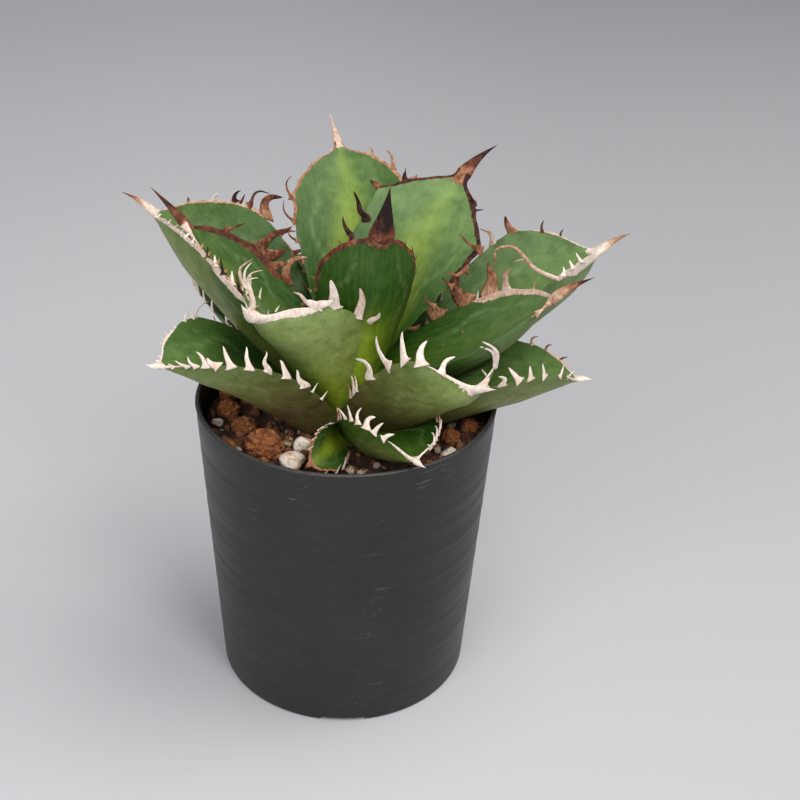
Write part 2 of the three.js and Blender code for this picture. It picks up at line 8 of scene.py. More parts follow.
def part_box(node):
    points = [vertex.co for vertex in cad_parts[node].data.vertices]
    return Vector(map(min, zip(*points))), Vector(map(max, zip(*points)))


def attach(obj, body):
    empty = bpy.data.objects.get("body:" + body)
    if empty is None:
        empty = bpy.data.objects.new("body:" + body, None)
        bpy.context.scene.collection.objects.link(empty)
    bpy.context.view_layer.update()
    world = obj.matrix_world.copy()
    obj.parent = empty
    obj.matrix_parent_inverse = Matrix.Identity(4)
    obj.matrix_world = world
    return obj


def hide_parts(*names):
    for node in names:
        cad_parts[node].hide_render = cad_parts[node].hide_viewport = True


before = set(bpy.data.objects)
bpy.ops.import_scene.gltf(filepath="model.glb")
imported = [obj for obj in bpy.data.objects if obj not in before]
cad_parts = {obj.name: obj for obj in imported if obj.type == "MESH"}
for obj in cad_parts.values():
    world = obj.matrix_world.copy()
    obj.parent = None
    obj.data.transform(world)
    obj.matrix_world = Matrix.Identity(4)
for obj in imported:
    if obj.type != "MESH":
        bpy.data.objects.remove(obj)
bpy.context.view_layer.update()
MM = 0.001

# ---- Pot --------------------------------------------------------------------------------------
# A plain tapered growers' pot with a raised, drained floor and a foot ring.
# Moulded in one shot from matte charcoal polypropylene; the mould leaves faint rings round the wall.
# It stands on its foot ring and middle pad, and everything else is held in it.


class Shade:
    """A value or colour on its way through a finish; sums with it add the Math nodes."""

    def __init__(self, finish, socket):
        self.finish = finish
        self.socket = socket

    def math(self, operation, first, second):
        return self.finish.node("ShaderNodeMath", {"operation": operation}, {0: first, 1: second})

    def __add__(self, other):
        return self.math("ADD", self, other)

    def __radd__(self, other):
        return self.math("ADD", other, self)

    def __sub__(self, other):
        return self.math("SUBTRACT", self, other)

    def __rsub__(self, other):
        return self.math("SUBTRACT", other, self)

    def __mul__(self, other):
        return self.math("MULTIPLY", self, other)

    def __rmul__(self, other):
        return self.math("MULTIPLY", other, self)

    def at_most(self, other):
        return self.math("MINIMUM", self, other)

    def at_least(self, other):
        return self.math("MAXIMUM", self, other)


class Finish:
    """One procedural material, built node by node on a Principled surface."""

    def __init__(self, name):
        self.material = bpy.data.materials.new(name)
        self.material.use_nodes = True
        self.tree = self.material.node_tree
        self.surface = self.tree.nodes["Principled BSDF"]

    def give(self, socket, value):
        """Links a value that is still being worked out, or writes one that is known."""
        if isinstance(value, Shade):
            self.tree.links.new(value.socket, socket)
        else:
            socket.default_value = value

    def node(self, kind, settings, sockets, out=0):
        """A node of one kind, with its settings made before its sockets are filled."""
        made = self.tree.nodes.new(kind)
        for name, value in settings.items():
            if name == "stops":
                stops = made.color_ramp.elements
                stops.remove(stops[1])
                for i, (position, colour) in enumerate(value):
                    stop = stops.new(position) if i else stops[0]
                    stop.position = position
                    stop.color = (*colour, 1.0)
            else:
                setattr(made, name, value)
        for key, value in sockets.items():
            self.give(made.inputs[key], value)
        return Shade(self, made.outputs[out])

    def place(self, stretch=(1, 1, 1)):
        """Where a point is on the object, in millimetres, stretched along each axis."""
        spot = self.node("ShaderNodeTexCoord", {}, {}, out=3)
        scale = tuple(1000.0 * part for part in stretch)
        return self.node("ShaderNodeMapping", {}, {0: spot, 3: scale})

    def grain(self, size, detail, stretch=(1, 1, 1)):
        """Soft noise whose patches are about size millimetres across, from 0 to 1."""
        spot = self.place(stretch)
        return self.node("ShaderNodeTexNoise", {}, {0: spot, 2: 1.0 / size, 3: detail, 4: 0.55})

    def between(self, value, low, high, to_low=0.0, to_high=1.0):
        """Eases value from to_low at low to to_high at high, and holds it outside them."""
        return self.node(
            "ShaderNodeMapRange", {"interpolation_type": "SMOOTHSTEP"},
            {0: value, 1: low, 2: high, 3: to_low, 4: to_high})

    def mix(self, share, first, second):
        """Share of the second colour over the first."""
        colours = [c if isinstance(c, Shade) else (*c, 1.0) for c in (first, second)]
        return self.node(
            "ShaderNodeMix", {"data_type": "RGBA"}, {0: share, 6: colours[0], 7: colours[1]}, out=2)

    def ramp(self, value, stops):
        return self.node("ShaderNodeValToRGB", {"stops": stops}, {0: value})

    def mark(self, name):
        """A value painted on the mesh by its maker."""
        return self.node("ShaderNodeAttribute", {"attribute_name": name}, {}, out=2)

    def relief(self, height, depth_mm):
        """Raises the surface by height times depth_mm."""
        bump = self.node("ShaderNodeBump", {}, {0: 1.0, 1: depth_mm * MM, "Height": height})
        self.give(self.surface.inputs["Normal"], bump)

    def paint(self, **values):
        """Fills the surface's sockets by name, with colours as plain triples."""
        for name, value in values.items():
            socket = self.surface.inputs[name.replace("_", " ")]
            if isinstance(value, tuple):
                value = (*value, 1.0)
            self.give(socket, value)


def pot_finish():
    finish = Finish("charcoal_plastic")
    cloud = finish.grain(28.0, 2.0)
    rings = finish.grain(3.0, 3.0, stretch=(0.03, 0.03, 1.0))
    swipe = finish.between(finish.grain(0.7, 1.0, stretch=(0.04, 0.04, 1.0)), 0.66, 0.74)
    scuff = finish.between(finish.grain(1.1, 2.0, stretch=(0.3, 0.3, 1.0)), 0.68, 0.76)
    patchy = finish.between(finish.grain(16.0, 3.0), 0.48, 0.66)
    dust = finish.between(finish.grain(1.3, 4.0), 0.52, 0.78) * patchy
    height = finish.node("ShaderNodeSeparateXYZ", {}, {0: finish.place()}, out=2)
    top = POT_HEIGHT / MM
    # rim: a painted highlight, the top edge of the lip painted lighter.
    rim = finish.between(height + finish.grain(2.0, 2.0) * 1.2, top, top + 0.6)
    # Scuffs and dust are real wear; the rim band mixed in here is a painted highlight.
    wear_and_highlight = (scuff.at_least(swipe) * patchy * 0.6 + dust * 0.24 + rim * 0.25).at_most(1.0)
    plastic = finish.mix(cloud, (0.011, 0.010, 0.010), (0.021, 0.019, 0.019))
    colour = finish.mix(wear_and_highlight, plastic, (0.11, 0.105, 0.10))
    finish.paint(
        Base_Color=colour,
        Roughness=finish.between(rings, 0.3, 0.7, 0.36, 0.48) + wear_and_highlight * 0.2, Specular_IOR_Level=0.34)
    finish.relief(rings * 0.7 + finish.grain(0.35, 2.0) * 0.12 - scuff * 0.2, 0.12)
    return finish.material


def turned(points, steps):
    """A closed body turned about the upright axis from a half section of (radius, height)."""
    mesh = bmesh.new()
    verts = [mesh.verts.new((radius, 0.0, height)) for radius, height in points]
    for one, other in zip(verts, verts[1:]):
        mesh.edges.new((one, other))
    bmesh.ops.spin(
        mesh, geom=mesh.verts[:] + mesh.edges[:], cent=(0, 0, 0), axis=(0, 0, 1),
        angle=math.tau, steps=steps, use_merge=True)
    bmesh.ops.remove_doubles(mesh, verts=mesh.verts, dist=1e-7)
    bmesh.ops.recalc_face_normals(mesh, faces=mesh.faces)
    return mesh


def arc(middle, radius, start, stop, steps=6):
    """Points round part of a circle, angles in degrees."""
    turns = [math.radians(start + (stop - start) * i / steps) for i in range(steps + 1)]
    return [(middle[0] + radius * math.cos(a), middle[1] + radius * math.sin(a)) for a in turns]


def piece_from(mesh, name, material, nodes):
    """Turns a finished mesh into a piece that stands for its CAD nodes."""
    for face in mesh.faces:
        face.smooth = True
    data = bpy.data.meshes.new(name)
    mesh.to_mesh(data)
    mesh.free()
    data.materials.append(material)
    piece = bpy.data.objects.new(name, data)
    bpy.context.scene.collection.objects.link(piece)
    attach(piece, "root")
    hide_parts(*nodes)
    return piece


pot_low, pot_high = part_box("pot")
POT_HEIGHT = pot_high[2]
POT_RADIUS = (pot_high[0] - pot_low[0]) / 2
FOOT_RADIUS = POT_RADIUS * 0.8686
POT_WALL = 1.7 * MM
FLOOR_TOP = 5 * MM
FLOOR_UNDERSIDE = 3 * MM
INSIDE_ROUND = 2 * MM


def wall_radius(height):
    return FOOT_RADIUS + (POT_RADIUS - FOOT_RADIUS) * height / POT_HEIGHT


def moulded_radius(height):
    """The outer wall with the shallow rings that the mould leaves."""
    rings = math.sin(height * 610) + math.sin(height * 1130 + 1.0) + 0.6 * math.sin(height * 2300)
    return wall_radius(height) - (0.10 + 0.03 * rings) * MM


def build_pot():
    """Underside, outer wall, lip, inner wall and floor, then the notches through the foot ring."""
    lip = POT_WALL * 0.45
    edge = 1.1 * MM
    outer_steps = 110
    inner_steps = 24
    pad_radius = 14 * MM
    pad_bevel = 0.4 * MM
    ring_inner = FOOT_RADIUS - 3.2 * MM
    ring_bevel = 0.3 * MM
    section = [(0, 0), (pad_radius - pad_bevel, 0), (pad_radius, pad_bevel)]
    section += [(pad_radius, FLOOR_UNDERSIDE), (ring_inner, FLOOR_UNDERSIDE)]
    section += [(ring_inner, ring_bevel), (ring_inner + ring_bevel, 0)]
    section += arc((FOOT_RADIUS - edge, edge), edge * 0.98, -90, 0)
    for i in range(1, outer_steps):
        height = edge + (POT_HEIGHT - lip - edge) * i / outer_steps
        section.append((moulded_radius(height), height))
    section += arc((POT_RADIUS - lip, POT_HEIGHT - lip), lip, 0, 90)
    section += arc((POT_RADIUS - POT_WALL + lip, POT_HEIGHT - lip), lip, 90, 180)[1:]
    inner_foot = FLOOR_TOP + INSIDE_ROUND
    for i in range(1, inner_steps):
        height = POT_HEIGHT - lip + (inner_foot - POT_HEIGHT + lip) * i / inner_steps
        section.append((wall_radius(height) - POT_WALL, height))
    corner = (wall_radius(FLOOR_TOP) - POT_WALL - INSIDE_ROUND, inner_foot)
    section += arc(corner, INSIDE_ROUND, 0, -90)
    section.append((0, FLOOR_TOP))
    mesh = turned(section, steps=200)
    notch_half = 8.25 * MM
    notch_height = 1.5 * MM
    for vert in mesh.verts:
        x, y, z = vert.co
        in_notch = min(abs(x), abs(y)) < notch_half and math.hypot(x, y) > ring_inner - 1e-5
        if in_notch and z < notch_height:
            vert.co.z = notch_height
    return mesh


def drill(piece, count, ring_radius, hole_radius):
    """Cuts a ring of round drain holes straight down through the floor."""
    cutter_mesh = bmesh.new()
    for i in range(count):
        turn = Matrix.Rotation(math.tau * i / count, 4, "Z")
        bmesh.ops.create_cone(
            cutter_mesh, cap_ends=True, segments=32, radius1=hole_radius, radius2=hole_radius,
            depth=20 * MM, matrix=turn @ Matrix.Translation((ring_radius, 0, 0)))
    data = bpy.data.meshes.new("drill")
    cutter_mesh.to_mesh(data)
    cutter_mesh.free()
    cutter = bpy.data.objects.new("drill", data)
    bpy.context.scene.collection.objects.link(cutter)
    cut = piece.modifiers.new("drain_holes", "BOOLEAN")
    cut.operation = "DIFFERENCE"
    cut.object = cutter
    bpy.context.view_layer.update()
    shaped = piece.evaluated_get(bpy.context.evaluated_depsgraph_get())
    drilled = bpy.data.meshes.new_from_object(shaped)
    piece.modifiers.clear()
    piece.data = drilled
    bpy.data.objects.remove(cutter)
    bpy.data.meshes.remove(data)


pot = piece_from(build_pot(), "pot_moulding", pot_finish(), ["pot"])
drill(pot, count=8, ring_radius=28 * MM, hole_radius=3.5 * MM)

# ---- Potting mix ------------------------------------------------------------------------------
# A loose gritty fill of baked clay, bark dust and pumice grains, level but rough on top.
# The fill is one lump under a scatter of separate grains, poured in round the roots.


def mix_finish():
    finish = Finish("gritty_mix")
    tint = finish.mark("tint")
    colour = finish.ramp(tint, [
        (0.0, (0.020, 0.010, 0.006)), (0.35, (0.075, 0.027, 0.012)), (0.6, (0.20, 0.070, 0.027)),
        (0.82, (0.36, 0.15, 0.065)), (0.93, (0.56, 0.42, 0.28)), (1.0, (0.70, 0.62, 0.50))])
    speckle = finish.between(finish.grain(0.5, 4.0), 0.35, 0.65)
    finish.paint(Base_Color=finish.mix(speckle * 0.6, colour, (0.02, 0.010, 0.006)), Roughness=0.95)
    finish.relief(finish.grain(0.45, 4.0), 0.4)
    return finish.material


def build_mix():
    top = 99.4 * MM
    bottom = FLOOR_TOP + 0.3 * MM
    gap = POT_WALL + 0.3 * MM
    rings = 40
    grains = 620
    section = [(0, bottom), (wall_radius(bottom) - gap - INSIDE_ROUND, bottom)]
    section += [(wall_radius(bottom) - gap, bottom + INSIDE_ROUND)]
    section += [(wall_radius(top) - gap, top - 1.5 * MM)]
    section += [((wall_radius(top) - gap) * (1 - i / rings), top) for i in range(1, rings)]
    section.append((0, top))
    mesh = turned(section, steps=120)
    tint = mesh.verts.layers.float.new("tint")
    for vert in mesh.verts:
        vert[tint] = 0.28 + 0.5 * noise.fractal(vert.co * 300, 0.8, 2.0, 3)
        if vert.co.z > top - 0.1 * MM:
            vert.co.z += 1.6 * MM * noise.fractal(vert.co * 220, 0.8, 2.0, 3)
    scatter = random.Random(5)
    noise.seed_set(5)
    for _ in range(grains):
        size = scatter.uniform(0.9, 2.5) * MM
        reach = math.sqrt(scatter.uniform(0.02, 1.0)) * (wall_radius(top) - gap - size)
        heading = scatter.uniform(0, math.tau)
        middle = (reach * math.cos(heading), reach * math.sin(heading),
                  top + scatter.uniform(-0.2, 0.5) * size)
        turn = Matrix.Rotation(scatter.uniform(0, math.tau), 4, (scatter.random(), 1, 0.3))
        stretch = Matrix.Diagonal((size, size * scatter.uniform(0.6, 1), size * 0.7, 1))
        grain = bmesh.ops.create_icosphere(
            mesh, subdivisions=1, radius=1.0, matrix=Matrix.Translation(middle) @ turn @ stretch)
        colour = scatter.choice((0.3, 0.5, 0.55, 0.6, 0.65, 0.72, 0.8, 0.95))
        for vert in grain["verts"]:
            vert[tint] = colour
            vert.co += noise.noise_vector(vert.co * 700) * size * 0.35
    return mesh


piece_from(build_mix(), "potting_mix_grains", mix_finish(), ["potting_mix"])

# ---- Loose stones -----------------------------------------------------------------------------
# Clumps of red-brown baked clay granules and a few cream pumice stones.
# They lie loose on the mix, and each one is a separate stone.


def clay_finish():
    finish = Finish("baked_clay")
    patch = finish.grain(3.2, 4.0)
    fine = finish.grain(0.7, 5.0)
    colour = finish.ramp(patch * 0.7 + fine * 0.3, [
        (0.30, (0.060, 0.020, 0.008)), (0.46, (0.21, 0.065, 0.020)), (0.58, (0.38, 0.135, 0.038)),
        (0.72, (0.58, 0.28, 0.10))])
    finish.paint(Base_Color=colour, Roughness=0.92)
    finish.relief(fine + patch * 0.6, 0.5)
    return finish.material


def pumice_finish():
    finish = Finish("pumice")
    stain = finish.between(finish.grain(6.5, 3.0), 0.48, 0.62)
    pore = finish.between(finish.grain(0.8, 3.0), 0.30, 0.42)
    colour = finish.mix(stain * 0.8, (0.74, 0.65, 0.55), (0.48, 0.25, 0.11))
    finish.paint(Base_Color=finish.mix(1 - pore, colour, (0.42, 0.32, 0.22)), Roughness=0.9)
    finish.relief(pore + finish.grain(0.5, 3.0) * 0.4, 0.25)
    return finish.material


def build_stone(low, high, reach_of):
    """A stone that fills its CAD stone's box, with its skin at reach_of(direction), at most 1."""
    middle = (Vector(low) + Vector(high)) / 2
    half = (Vector(high) - Vector(low)) / 2
    mesh = bmesh.new()
    bmesh.ops.create_icosphere(mesh, subdivisions=5, radius=1.0)
    for vert in mesh.verts:
        direction = vert.co.normalized()
        reach = min(reach_of(direction), 0.99)
        vert.co = middle + Vector(direction[i] * half[i] * reach for i in range(3))
    return mesh


def crumb(seed):
    """Granules stuck together, with creases between them."""
    drift = Vector((seed * 3.7, seed * 1.9, seed * 2.3))

    def reach_of(direction):
        near, second = noise.voronoi(direction * 1.7 + drift)[0][:2]
        crease = min((second - near) * 2.2, 1.0) ** 0.5
        small = noise.voronoi(direction * 4.5 + drift)[0][0]
        pit = noise.turbulence(direction * 5.0 + drift, 3, False)
        return 0.74 + 0.30 * crease - 0.14 * small - 0.12 * pit
    return reach_of


def chip(seed, cuts):
    """A broken pebble, flat on a few sides, with its corners worn round."""
    chance = random.Random(seed)
    drift = Vector((seed * 1.3, seed * 2.9, seed * 0.7))
    planes = [(Vector(chance.gauss(0, 1) for _ in range(3)).normalized(), chance.uniform(0.62, 0.85))
              for _ in range(cuts)]

    def reach_of(direction):
        push = sum(max(direction.dot(normal) / depth, 0.0) ** 9 for normal, depth in planes)
        rough = noise.fractal(direction * 3.0 + drift, 0.8, 2.0, 4)
        return min(1.1, max(push, 1e-6) ** (-1 / 9)) * 0.98 + 0.035 * rough
    return reach_of


clay = clay_finish()
pumice = pumice_finish()
for node in sorted(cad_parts):
    if node.startswith("clay_clump"):
        stone = build_stone(*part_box(node), crumb(int(node.split("_")[-1])))
        piece_from(stone, node + "_stone", clay, [node])
    elif node.startswith("pumice_stone"):
        stone = build_stone(*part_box(node), chip(int(node.split("_")[-1]), cuts=11))
        piece_from(stone, node + "_stone", pumice, [node])

# ---- Stem and roots ---------------------------------------------------------------------------
# A short woody stem that the leaves clasp, with a few thick roots spreading into the mix.
# It is out of sight in the finished plant.


def stem_finish():
    finish = Finish("stem_and_roots")
    fibre = finish.grain(2.0, 4.0, stretch=(1, 1, 0.2))
    finish.paint(
        Base_Color=finish.mix(fibre, (0.16, 0.09, 0.045), (0.38, 0.28, 0.17)), Roughness=0.85)
    finish.relief(fibre, 0.4)
    return finish.material


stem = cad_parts["stem_with_roots"]
stem.data.materials.clear()
stem.data.materials.append(stem_finish())

# ---- Leaves -----------------------------------------------------------------------------------
# Thick stiff leaves in one spiral, hollowed above and keeled below, youngest at the middle.
# Each ends in a horny spine that runs back down both margins as cork, above rows of cork teeth.
# Blade, spine, cork and teeth grow as one body, so each leaf is one piece, clasped on the stem.


def cork_colour(finish):
    """Horn and cork, from bleached white at tone 0 to almost black at tone 1."""
    tone = finish.mark("tone")
    fibre = finish.grain(0.9, 3.0, stretch=(1, 1, 0.5))
    patch = finish.grain(3.4, 3.0)
    return finish.ramp(tone + (fibre - 0.5) * 0.50 + (patch - 0.5) * tone * 1.3, [
        (0.0, (0.76, 0.68, 0.61)), (0.16, (0.62, 0.48, 0.39)), (0.40, (0.36, 0.18, 0.095)),
        (0.62, (0.135, 0.040, 0.019)), (0.82, (0.045, 0.015, 0.010)), (1.0, (0.014, 0.006, 0.005))])


FINISH_MARKS = (
    "side", "run", "under", "cork", "tone", "stripe", "bloom", "blush", "print", "deep")


def leaf_finish():
    """Green skin and cork in one finish, told apart by the marks on each leaf's mesh."""
    finish = Finish("agave_leaf")
    run = finish.mark("run")
    under = finish.mark("under")
    spot = finish.node(
        "ShaderNodeCombineXYZ", {}, {0: finish.mark("side"), 1: run * 0.16, 2: under * 9.0})
    streak = finish.node("ShaderNodeTexNoise", {}, {0: spot, 2: 0.9, 3: 3.0, 4: 0.6})
    mottle = finish.grain(9.0, 3.0)
    blotch = finish.grain(4.5, 3.0)
    dapple = finish.between(blotch * 0.6 + finish.grain(1.1, 3.0) * 0.4, 0.26, 0.72)
    upper_face = finish.mix(
        finish.between(blotch, 0.25, 0.75), (0.020, 0.062, 0.005), (0.066, 0.128, 0.018))
    lower_face = finish.mix(dapple, (0.085, 0.118, 0.010), (0.255, 0.280, 0.082))
    # The deep mark is the leaf's own deep green plus painted shade; above 0 it mixes in dark green,
    # below 0 a pale green.
    deep = finish.mark("deep")
    stripe = finish.mark("stripe") * (0.15 + streak * 0.5 + blotch * 1.2)
    bloom = finish.mark("bloom") * (0.1 + mottle * 0.9 + blotch * 0.9)
    blush = finish.mark("blush") * (0.4 + mottle * 1.2)
    bud_print = finish.mark("print")
    green = finish.mix(under, upper_face, lower_face)
    for share, colour in (
            (deep.at_least(0.0), (0.010, 0.050, 0.001)),
            ((0 - deep).at_least(0.0), (0.33, 0.40, 0.13)),
            (stripe.at_most(1.0), (0.290, 0.385, 0.018)),
            (bloom.at_most(1.0) * 0.60, (0.205, 0.310, 0.120)),
            (blush.at_most(1.0) * 0.95, (0.088, 0.046, 0.020)),
            (finish.between(streak, 0.35, 0.7) * 0.08, (0.30, 0.40, 0.10)),
            (bud_print * 0.18, (0.30, 0.40, 0.18))):
        green = finish.mix(share, green, colour)
    edge = finish.mark("cork") + (finish.grain(1.1, 3.0) - 0.5) * 0.5
    cork = finish.between(edge, 0.46, 0.54)
    finish.paint(
        Base_Color=finish.mix(cork, green, cork_colour(finish)),
        Roughness=(0.42 + mottle * 0.12) * (1 - cork) + cork * 0.75, Specular_IOR_Level=0.22)
    skin = streak * 0.35 + finish.grain(0.55, 2.0) * 0.10 + blotch * 0.9 + bud_print * 0.5
    bark = finish.grain(0.7, 4.0, stretch=(1, 1, 0.5)) * 0.9 + 0.5
    finish.relief(skin * (1 - cork) + bark * cork, 0.36)
    return finish.material


def ease(value, low, high):
    """0 at low, 1 at high, smooth between."""
    share = min(max((value - low) / (high - low), 0.0), 1.0)
    return share * share * (3 - 2 * share)


def blend(one, other, share):
    return one + (other - one) * share


class Leaf:
    """The shape of one leaf. t runs from its base to the root of its spine, and on to 2 at the point.

    Lengths are in millimetres and angles in degrees: radius and height are where the midrib leaves
    the stem, rise is its climb at the base and at the tip, and fold is how steeply the halves are
    cupped at the two ends. clasp is the width at the base as a part of the widest, widest is where
    that is, and taper how full the outer end is. spine is its length, lift and lean. Each of the
    two rims is where its cork begins, how wide it is and its tone, and tips is how far the spine's
    cork runs down the blade, with its tone at the point and at the root.
    """

    STEPS = 40

    def __init__(self, direction, swing, rise, length, width, height, radius, roll, fold, clasp,
                 widest, spine, spine_width, rims, tips, taper=1.8, thickness=10.5):
        self.length = length
        self.width = width
        self.fold = fold
        self.clasp = clasp
        self.widest = widest
        self.taper = taper
        self.thickness = thickness
        self.spine = spine
        self.spine_width = spine_width
        self.rims = rims
        self.tips = tips
        self.teeth = []
        self.frames = []
        for step in range(self.STEPS + 1):
            t = step / self.STEPS
            heading = math.radians(direction + swing * t ** 1.5)
            climb = math.radians(blend(*rise, t))
            along = Vector((math.cos(climb) * math.cos(heading),
                            math.cos(climb) * math.sin(heading), math.sin(climb)))
            across = Vector((-math.sin(heading), math.cos(heading), 0))
            up = along.cross(across)
            turn = Matrix.Rotation(math.radians(roll), 3, along)
            if self.frames:
                point = self.frames[-1][0] + (self.frames[-1][1] + along) * (length / self.STEPS / 2)
            else:
                point = Vector((radius * math.cos(heading), radius * math.sin(heading), height))
            self.frames.append((point, along, turn @ across, turn @ up))
        end, along, across, up = self.frames[-1]
        lift, lean = math.radians(spine[1]), math.radians(spine[2])
        aim = (along * math.cos(lift) + up * math.sin(lift)) * math.cos(lean)
        self.spine_point = end + (aim + across * math.sin(lean)) * spine[0]

    def frame(self, t):
        place = min(max(t, 0.0), 1.0) * self.STEPS
        step = min(int(place), self.STEPS - 1)
        share = place - step
        return [one.lerp(other, share)
                for one, other in zip(self.frames[step], self.frames[step + 1])]

    def spine_at(self, q):
        """The middle of the spine, q from 0 at its root to 1 at its point."""
        end, along = self.frames[-1][:2]
        bend = end + along * self.spine[0] * 0.45
        return end * (1 - q) ** 2 + bend * 2 * q * (1 - q) + self.spine_point * q * q

    def half_width(self, t):
        if t < self.widest:
            part = blend(self.clasp, 1, math.sin(t / self.widest * math.pi / 2) ** 1.3)
        else:
            part = 1 - ((t - self.widest) / (1 - self.widest)) ** self.taper
        return self.width / 2 * part

    def bulge(self, t, side):
        """How far the margin stands out on the green bumps that carry its teeth."""
        out = 0.0
        for tooth in self.teeth:
            if tooth["side"] == side:
                gap = (t - tooth["t"]) * self.length / (1.2 + 0.28 * tooth["length"])
                out += math.exp(-gap * gap) * min(0.16 * tooth["length"], 0.9)
        wave = 0.5 + 0.5 * math.sin(t * self.length * 0.8 + 2 * side)
        return min(out + 0.4 * wave * ease(t, 0.1, 0.3), 1.1)

    def skin(self, t, place, below):
        """A point on the blade. place is -1 to 1 across, below 0 on the upper face, 0 to 1 under."""
        middle, _, across, up = self.frame(t)
        half = self.half_width(t)
        fold = blend(*self.fold, t)
        side = 1 if place > 0 else -1
        out = abs(place)
        sideways = half * out * (1 - 0.25 * fold ** 2 * out ** 2) + self.bulge(t, side) * out ** 8
        height = fold * half * out ** 1.7
        full = min(1, 1.1 * half / (self.width / 2))
        depth = self.thickness * (1 - 0.7 * t) * full * (1 - out * out) ** 0.7
        return middle + across * sideways * side + up * (height - depth * min(below * 3, 1.0))

    def body(self, way, turn):
        """A point of the whole skin. way is 0 to 1 on the blade, 1 to 2 on the spine."""
        place, below = math.cos(turn), max(-math.sin(turn), 0.0)
        edge = max(math.sin(turn), 0.0) ** 0.6 - max(-math.sin(turn), 0.0) ** 0.6
        if way <= 1:
            middle, _, across, up = self.frame(way)
            root = self.spine_width / 2
            point = self.skin(way, place, below)
            rim = 0.42 * min(self.half_width(way) / 6, 1.0)
            point += up * rim * edge
            horn = middle + (across * place + up * math.sin(turn) * 0.75) * root
            return point.lerp(horn, ease(way, 0.90, 1.0))
        q = way - 1
        middle = self.spine_at(q)
        across, up = self.frames[-1][2:]
        radius = self.spine_width / 2 * ((1 - q) ** 1.25 * 0.75 + (1 - q) * 0.25)
        flat = blend(0.75, 0.9, q)
        return middle + (across * place + up * math.sin(turn) * flat) * radius

    def margin(self, t, side):
        """Where a tooth stands: the point, outwards, upwards and along the leaf."""
        point = self.body(t, 0.0 if side > 0 else math.pi)
        inner = self.skin(t, side * 0.85, 0.0)
        ahead = self.body(min(t + 0.02, 0.999), 0.0 if side > 0 else math.pi)
        forward = (ahead - point).normalized()
        outward = point - inner
        outward = (outward - forward * outward.dot(forward)).normalized()
        upward = outward.cross(forward).normalized()
        if upward.dot(self.frame(t)[3]) < 0:
            upward.negate()
        return point, outward, upward, forward


def sleeve(mesh, around, along, spot, marks):
    """A closed skin: spot(turn, way) places each point, marks(vert, turn, way) notes its finish."""
    made = bmesh.ops.create_grid(mesh, x_segments=around, y_segments=along, size=1.0)["verts"]
    for vert in made:
        turn, way = math.pi * (vert.co.x + 1), (vert.co.y + 1) / 2
        if way > 0.999999:
            way = 1.0
        vert.co = spot(turn, way)
        marks(vert, turn, way)
    bmesh.ops.remove_doubles(mesh, verts=made, dist=0.002 * MM)
    edges = {edge for vert in made if vert.is_valid for edge in vert.link_edges}
    open_edges = [edge for edge in edges if edge.is_boundary]
    if open_edges:
        bmesh.ops.holes_fill(mesh, edges=open_edges, sides=0)


TOOTH_STEPS = 20


def tooth_line(leaf, t, side, length, stand, lean, curl, sway):
    """The middle line of a tooth, with its broad and its flat direction at each step.

    In degrees, stand is how far it tips up from straight outwards and lean how far towards the
    leaf's tip, curl is how much lean grows by its point, and sway is how much it snakes.
    """
    root, outward, upward, forward = leaf.margin(t, side)
    out = outward * math.cos(math.radians(stand)) + upward * math.sin(math.radians(stand))
    buried = 0.8
    slab = (length + buried) / TOOTH_STEPS
    line = []
    for step in range(TOOTH_STEPS + 1):
        way = step / TOOTH_STEPS
        bend = math.radians(lean + curl * way ** 1.4 + sway * math.sin(way * math.tau * 0.9))
        aim = out * math.cos(bend) + forward * math.sin(bend)
        broad = forward * math.cos(bend) - out * math.sin(bend)
        middle = line[-1][0] + aim * slab if line else root - aim * buried
        line.append((middle, broad, aim.cross(broad)))
    return line


def prong_line(leaf, t, side, lean, path):
    """The middle line of a prong that wanders, through points sideways and up from its root."""
    root, outward = leaf.margin(t, side)[:2]
    buried = 0.6
    points = [root - outward * buried] + [root + Vector((x, -lean * z, z)) for x, z in path]
    points = [points[0]] + points + [points[-1]]
    line = []
    for step in range(TOOTH_STEPS + 1):
        place = step / TOOTH_STEPS * (len(points) - 3)
        knot = min(int(place), len(points) - 4)
        share = place - knot
        before, start, stop, after = points[knot:knot + 4]
        middle = (start * 2 + (stop - before) * share
                  + (before * 2 - start * 5 + stop * 4 - after) * share ** 2
                  + (start * 3 - before - stop * 3 + after) * share ** 3) / 2
        line.append(middle)
    whole = []
    for step, middle in enumerate(line):
        aim = (line[min(step + 1, TOOTH_STEPS)] - line[max(step - 1, 0)]).normalized()
        broad = aim.cross(Vector((0, 1, 0))).normalized()
        whole.append((middle, broad, aim.cross(broad)))
    return whole


def grow_tooth(mesh, layers, line, root_width, flare, thick, tone):
    """A flat curved hook of cork, tapering along its line from a root that flares out."""
    def spot(turn, way):
        step = min(int(way * TOOTH_STEPS), TOOTH_STEPS - 1)
        middle, broad, face = (
            one.lerp(other, way * TOOTH_STEPS - step)
            for one, other in zip(line[step], line[step + 1]))
        half = root_width / 2 * (1 - way) ** 0.62 + flare * max(0.0, 1 - way / 0.3) ** 2
        depth = thick * (1 - way) ** 0.7 + 0.01
        return (middle + broad * half * math.cos(turn) + face * depth * math.sin(turn)) * MM

    def marks(vert, turn, way):
        vert[layers["cork"]] = 1.0
        vert[layers["tone"]] = blend(*tone, way)

    sleeve(mesh, 8, 18, spot, marks)


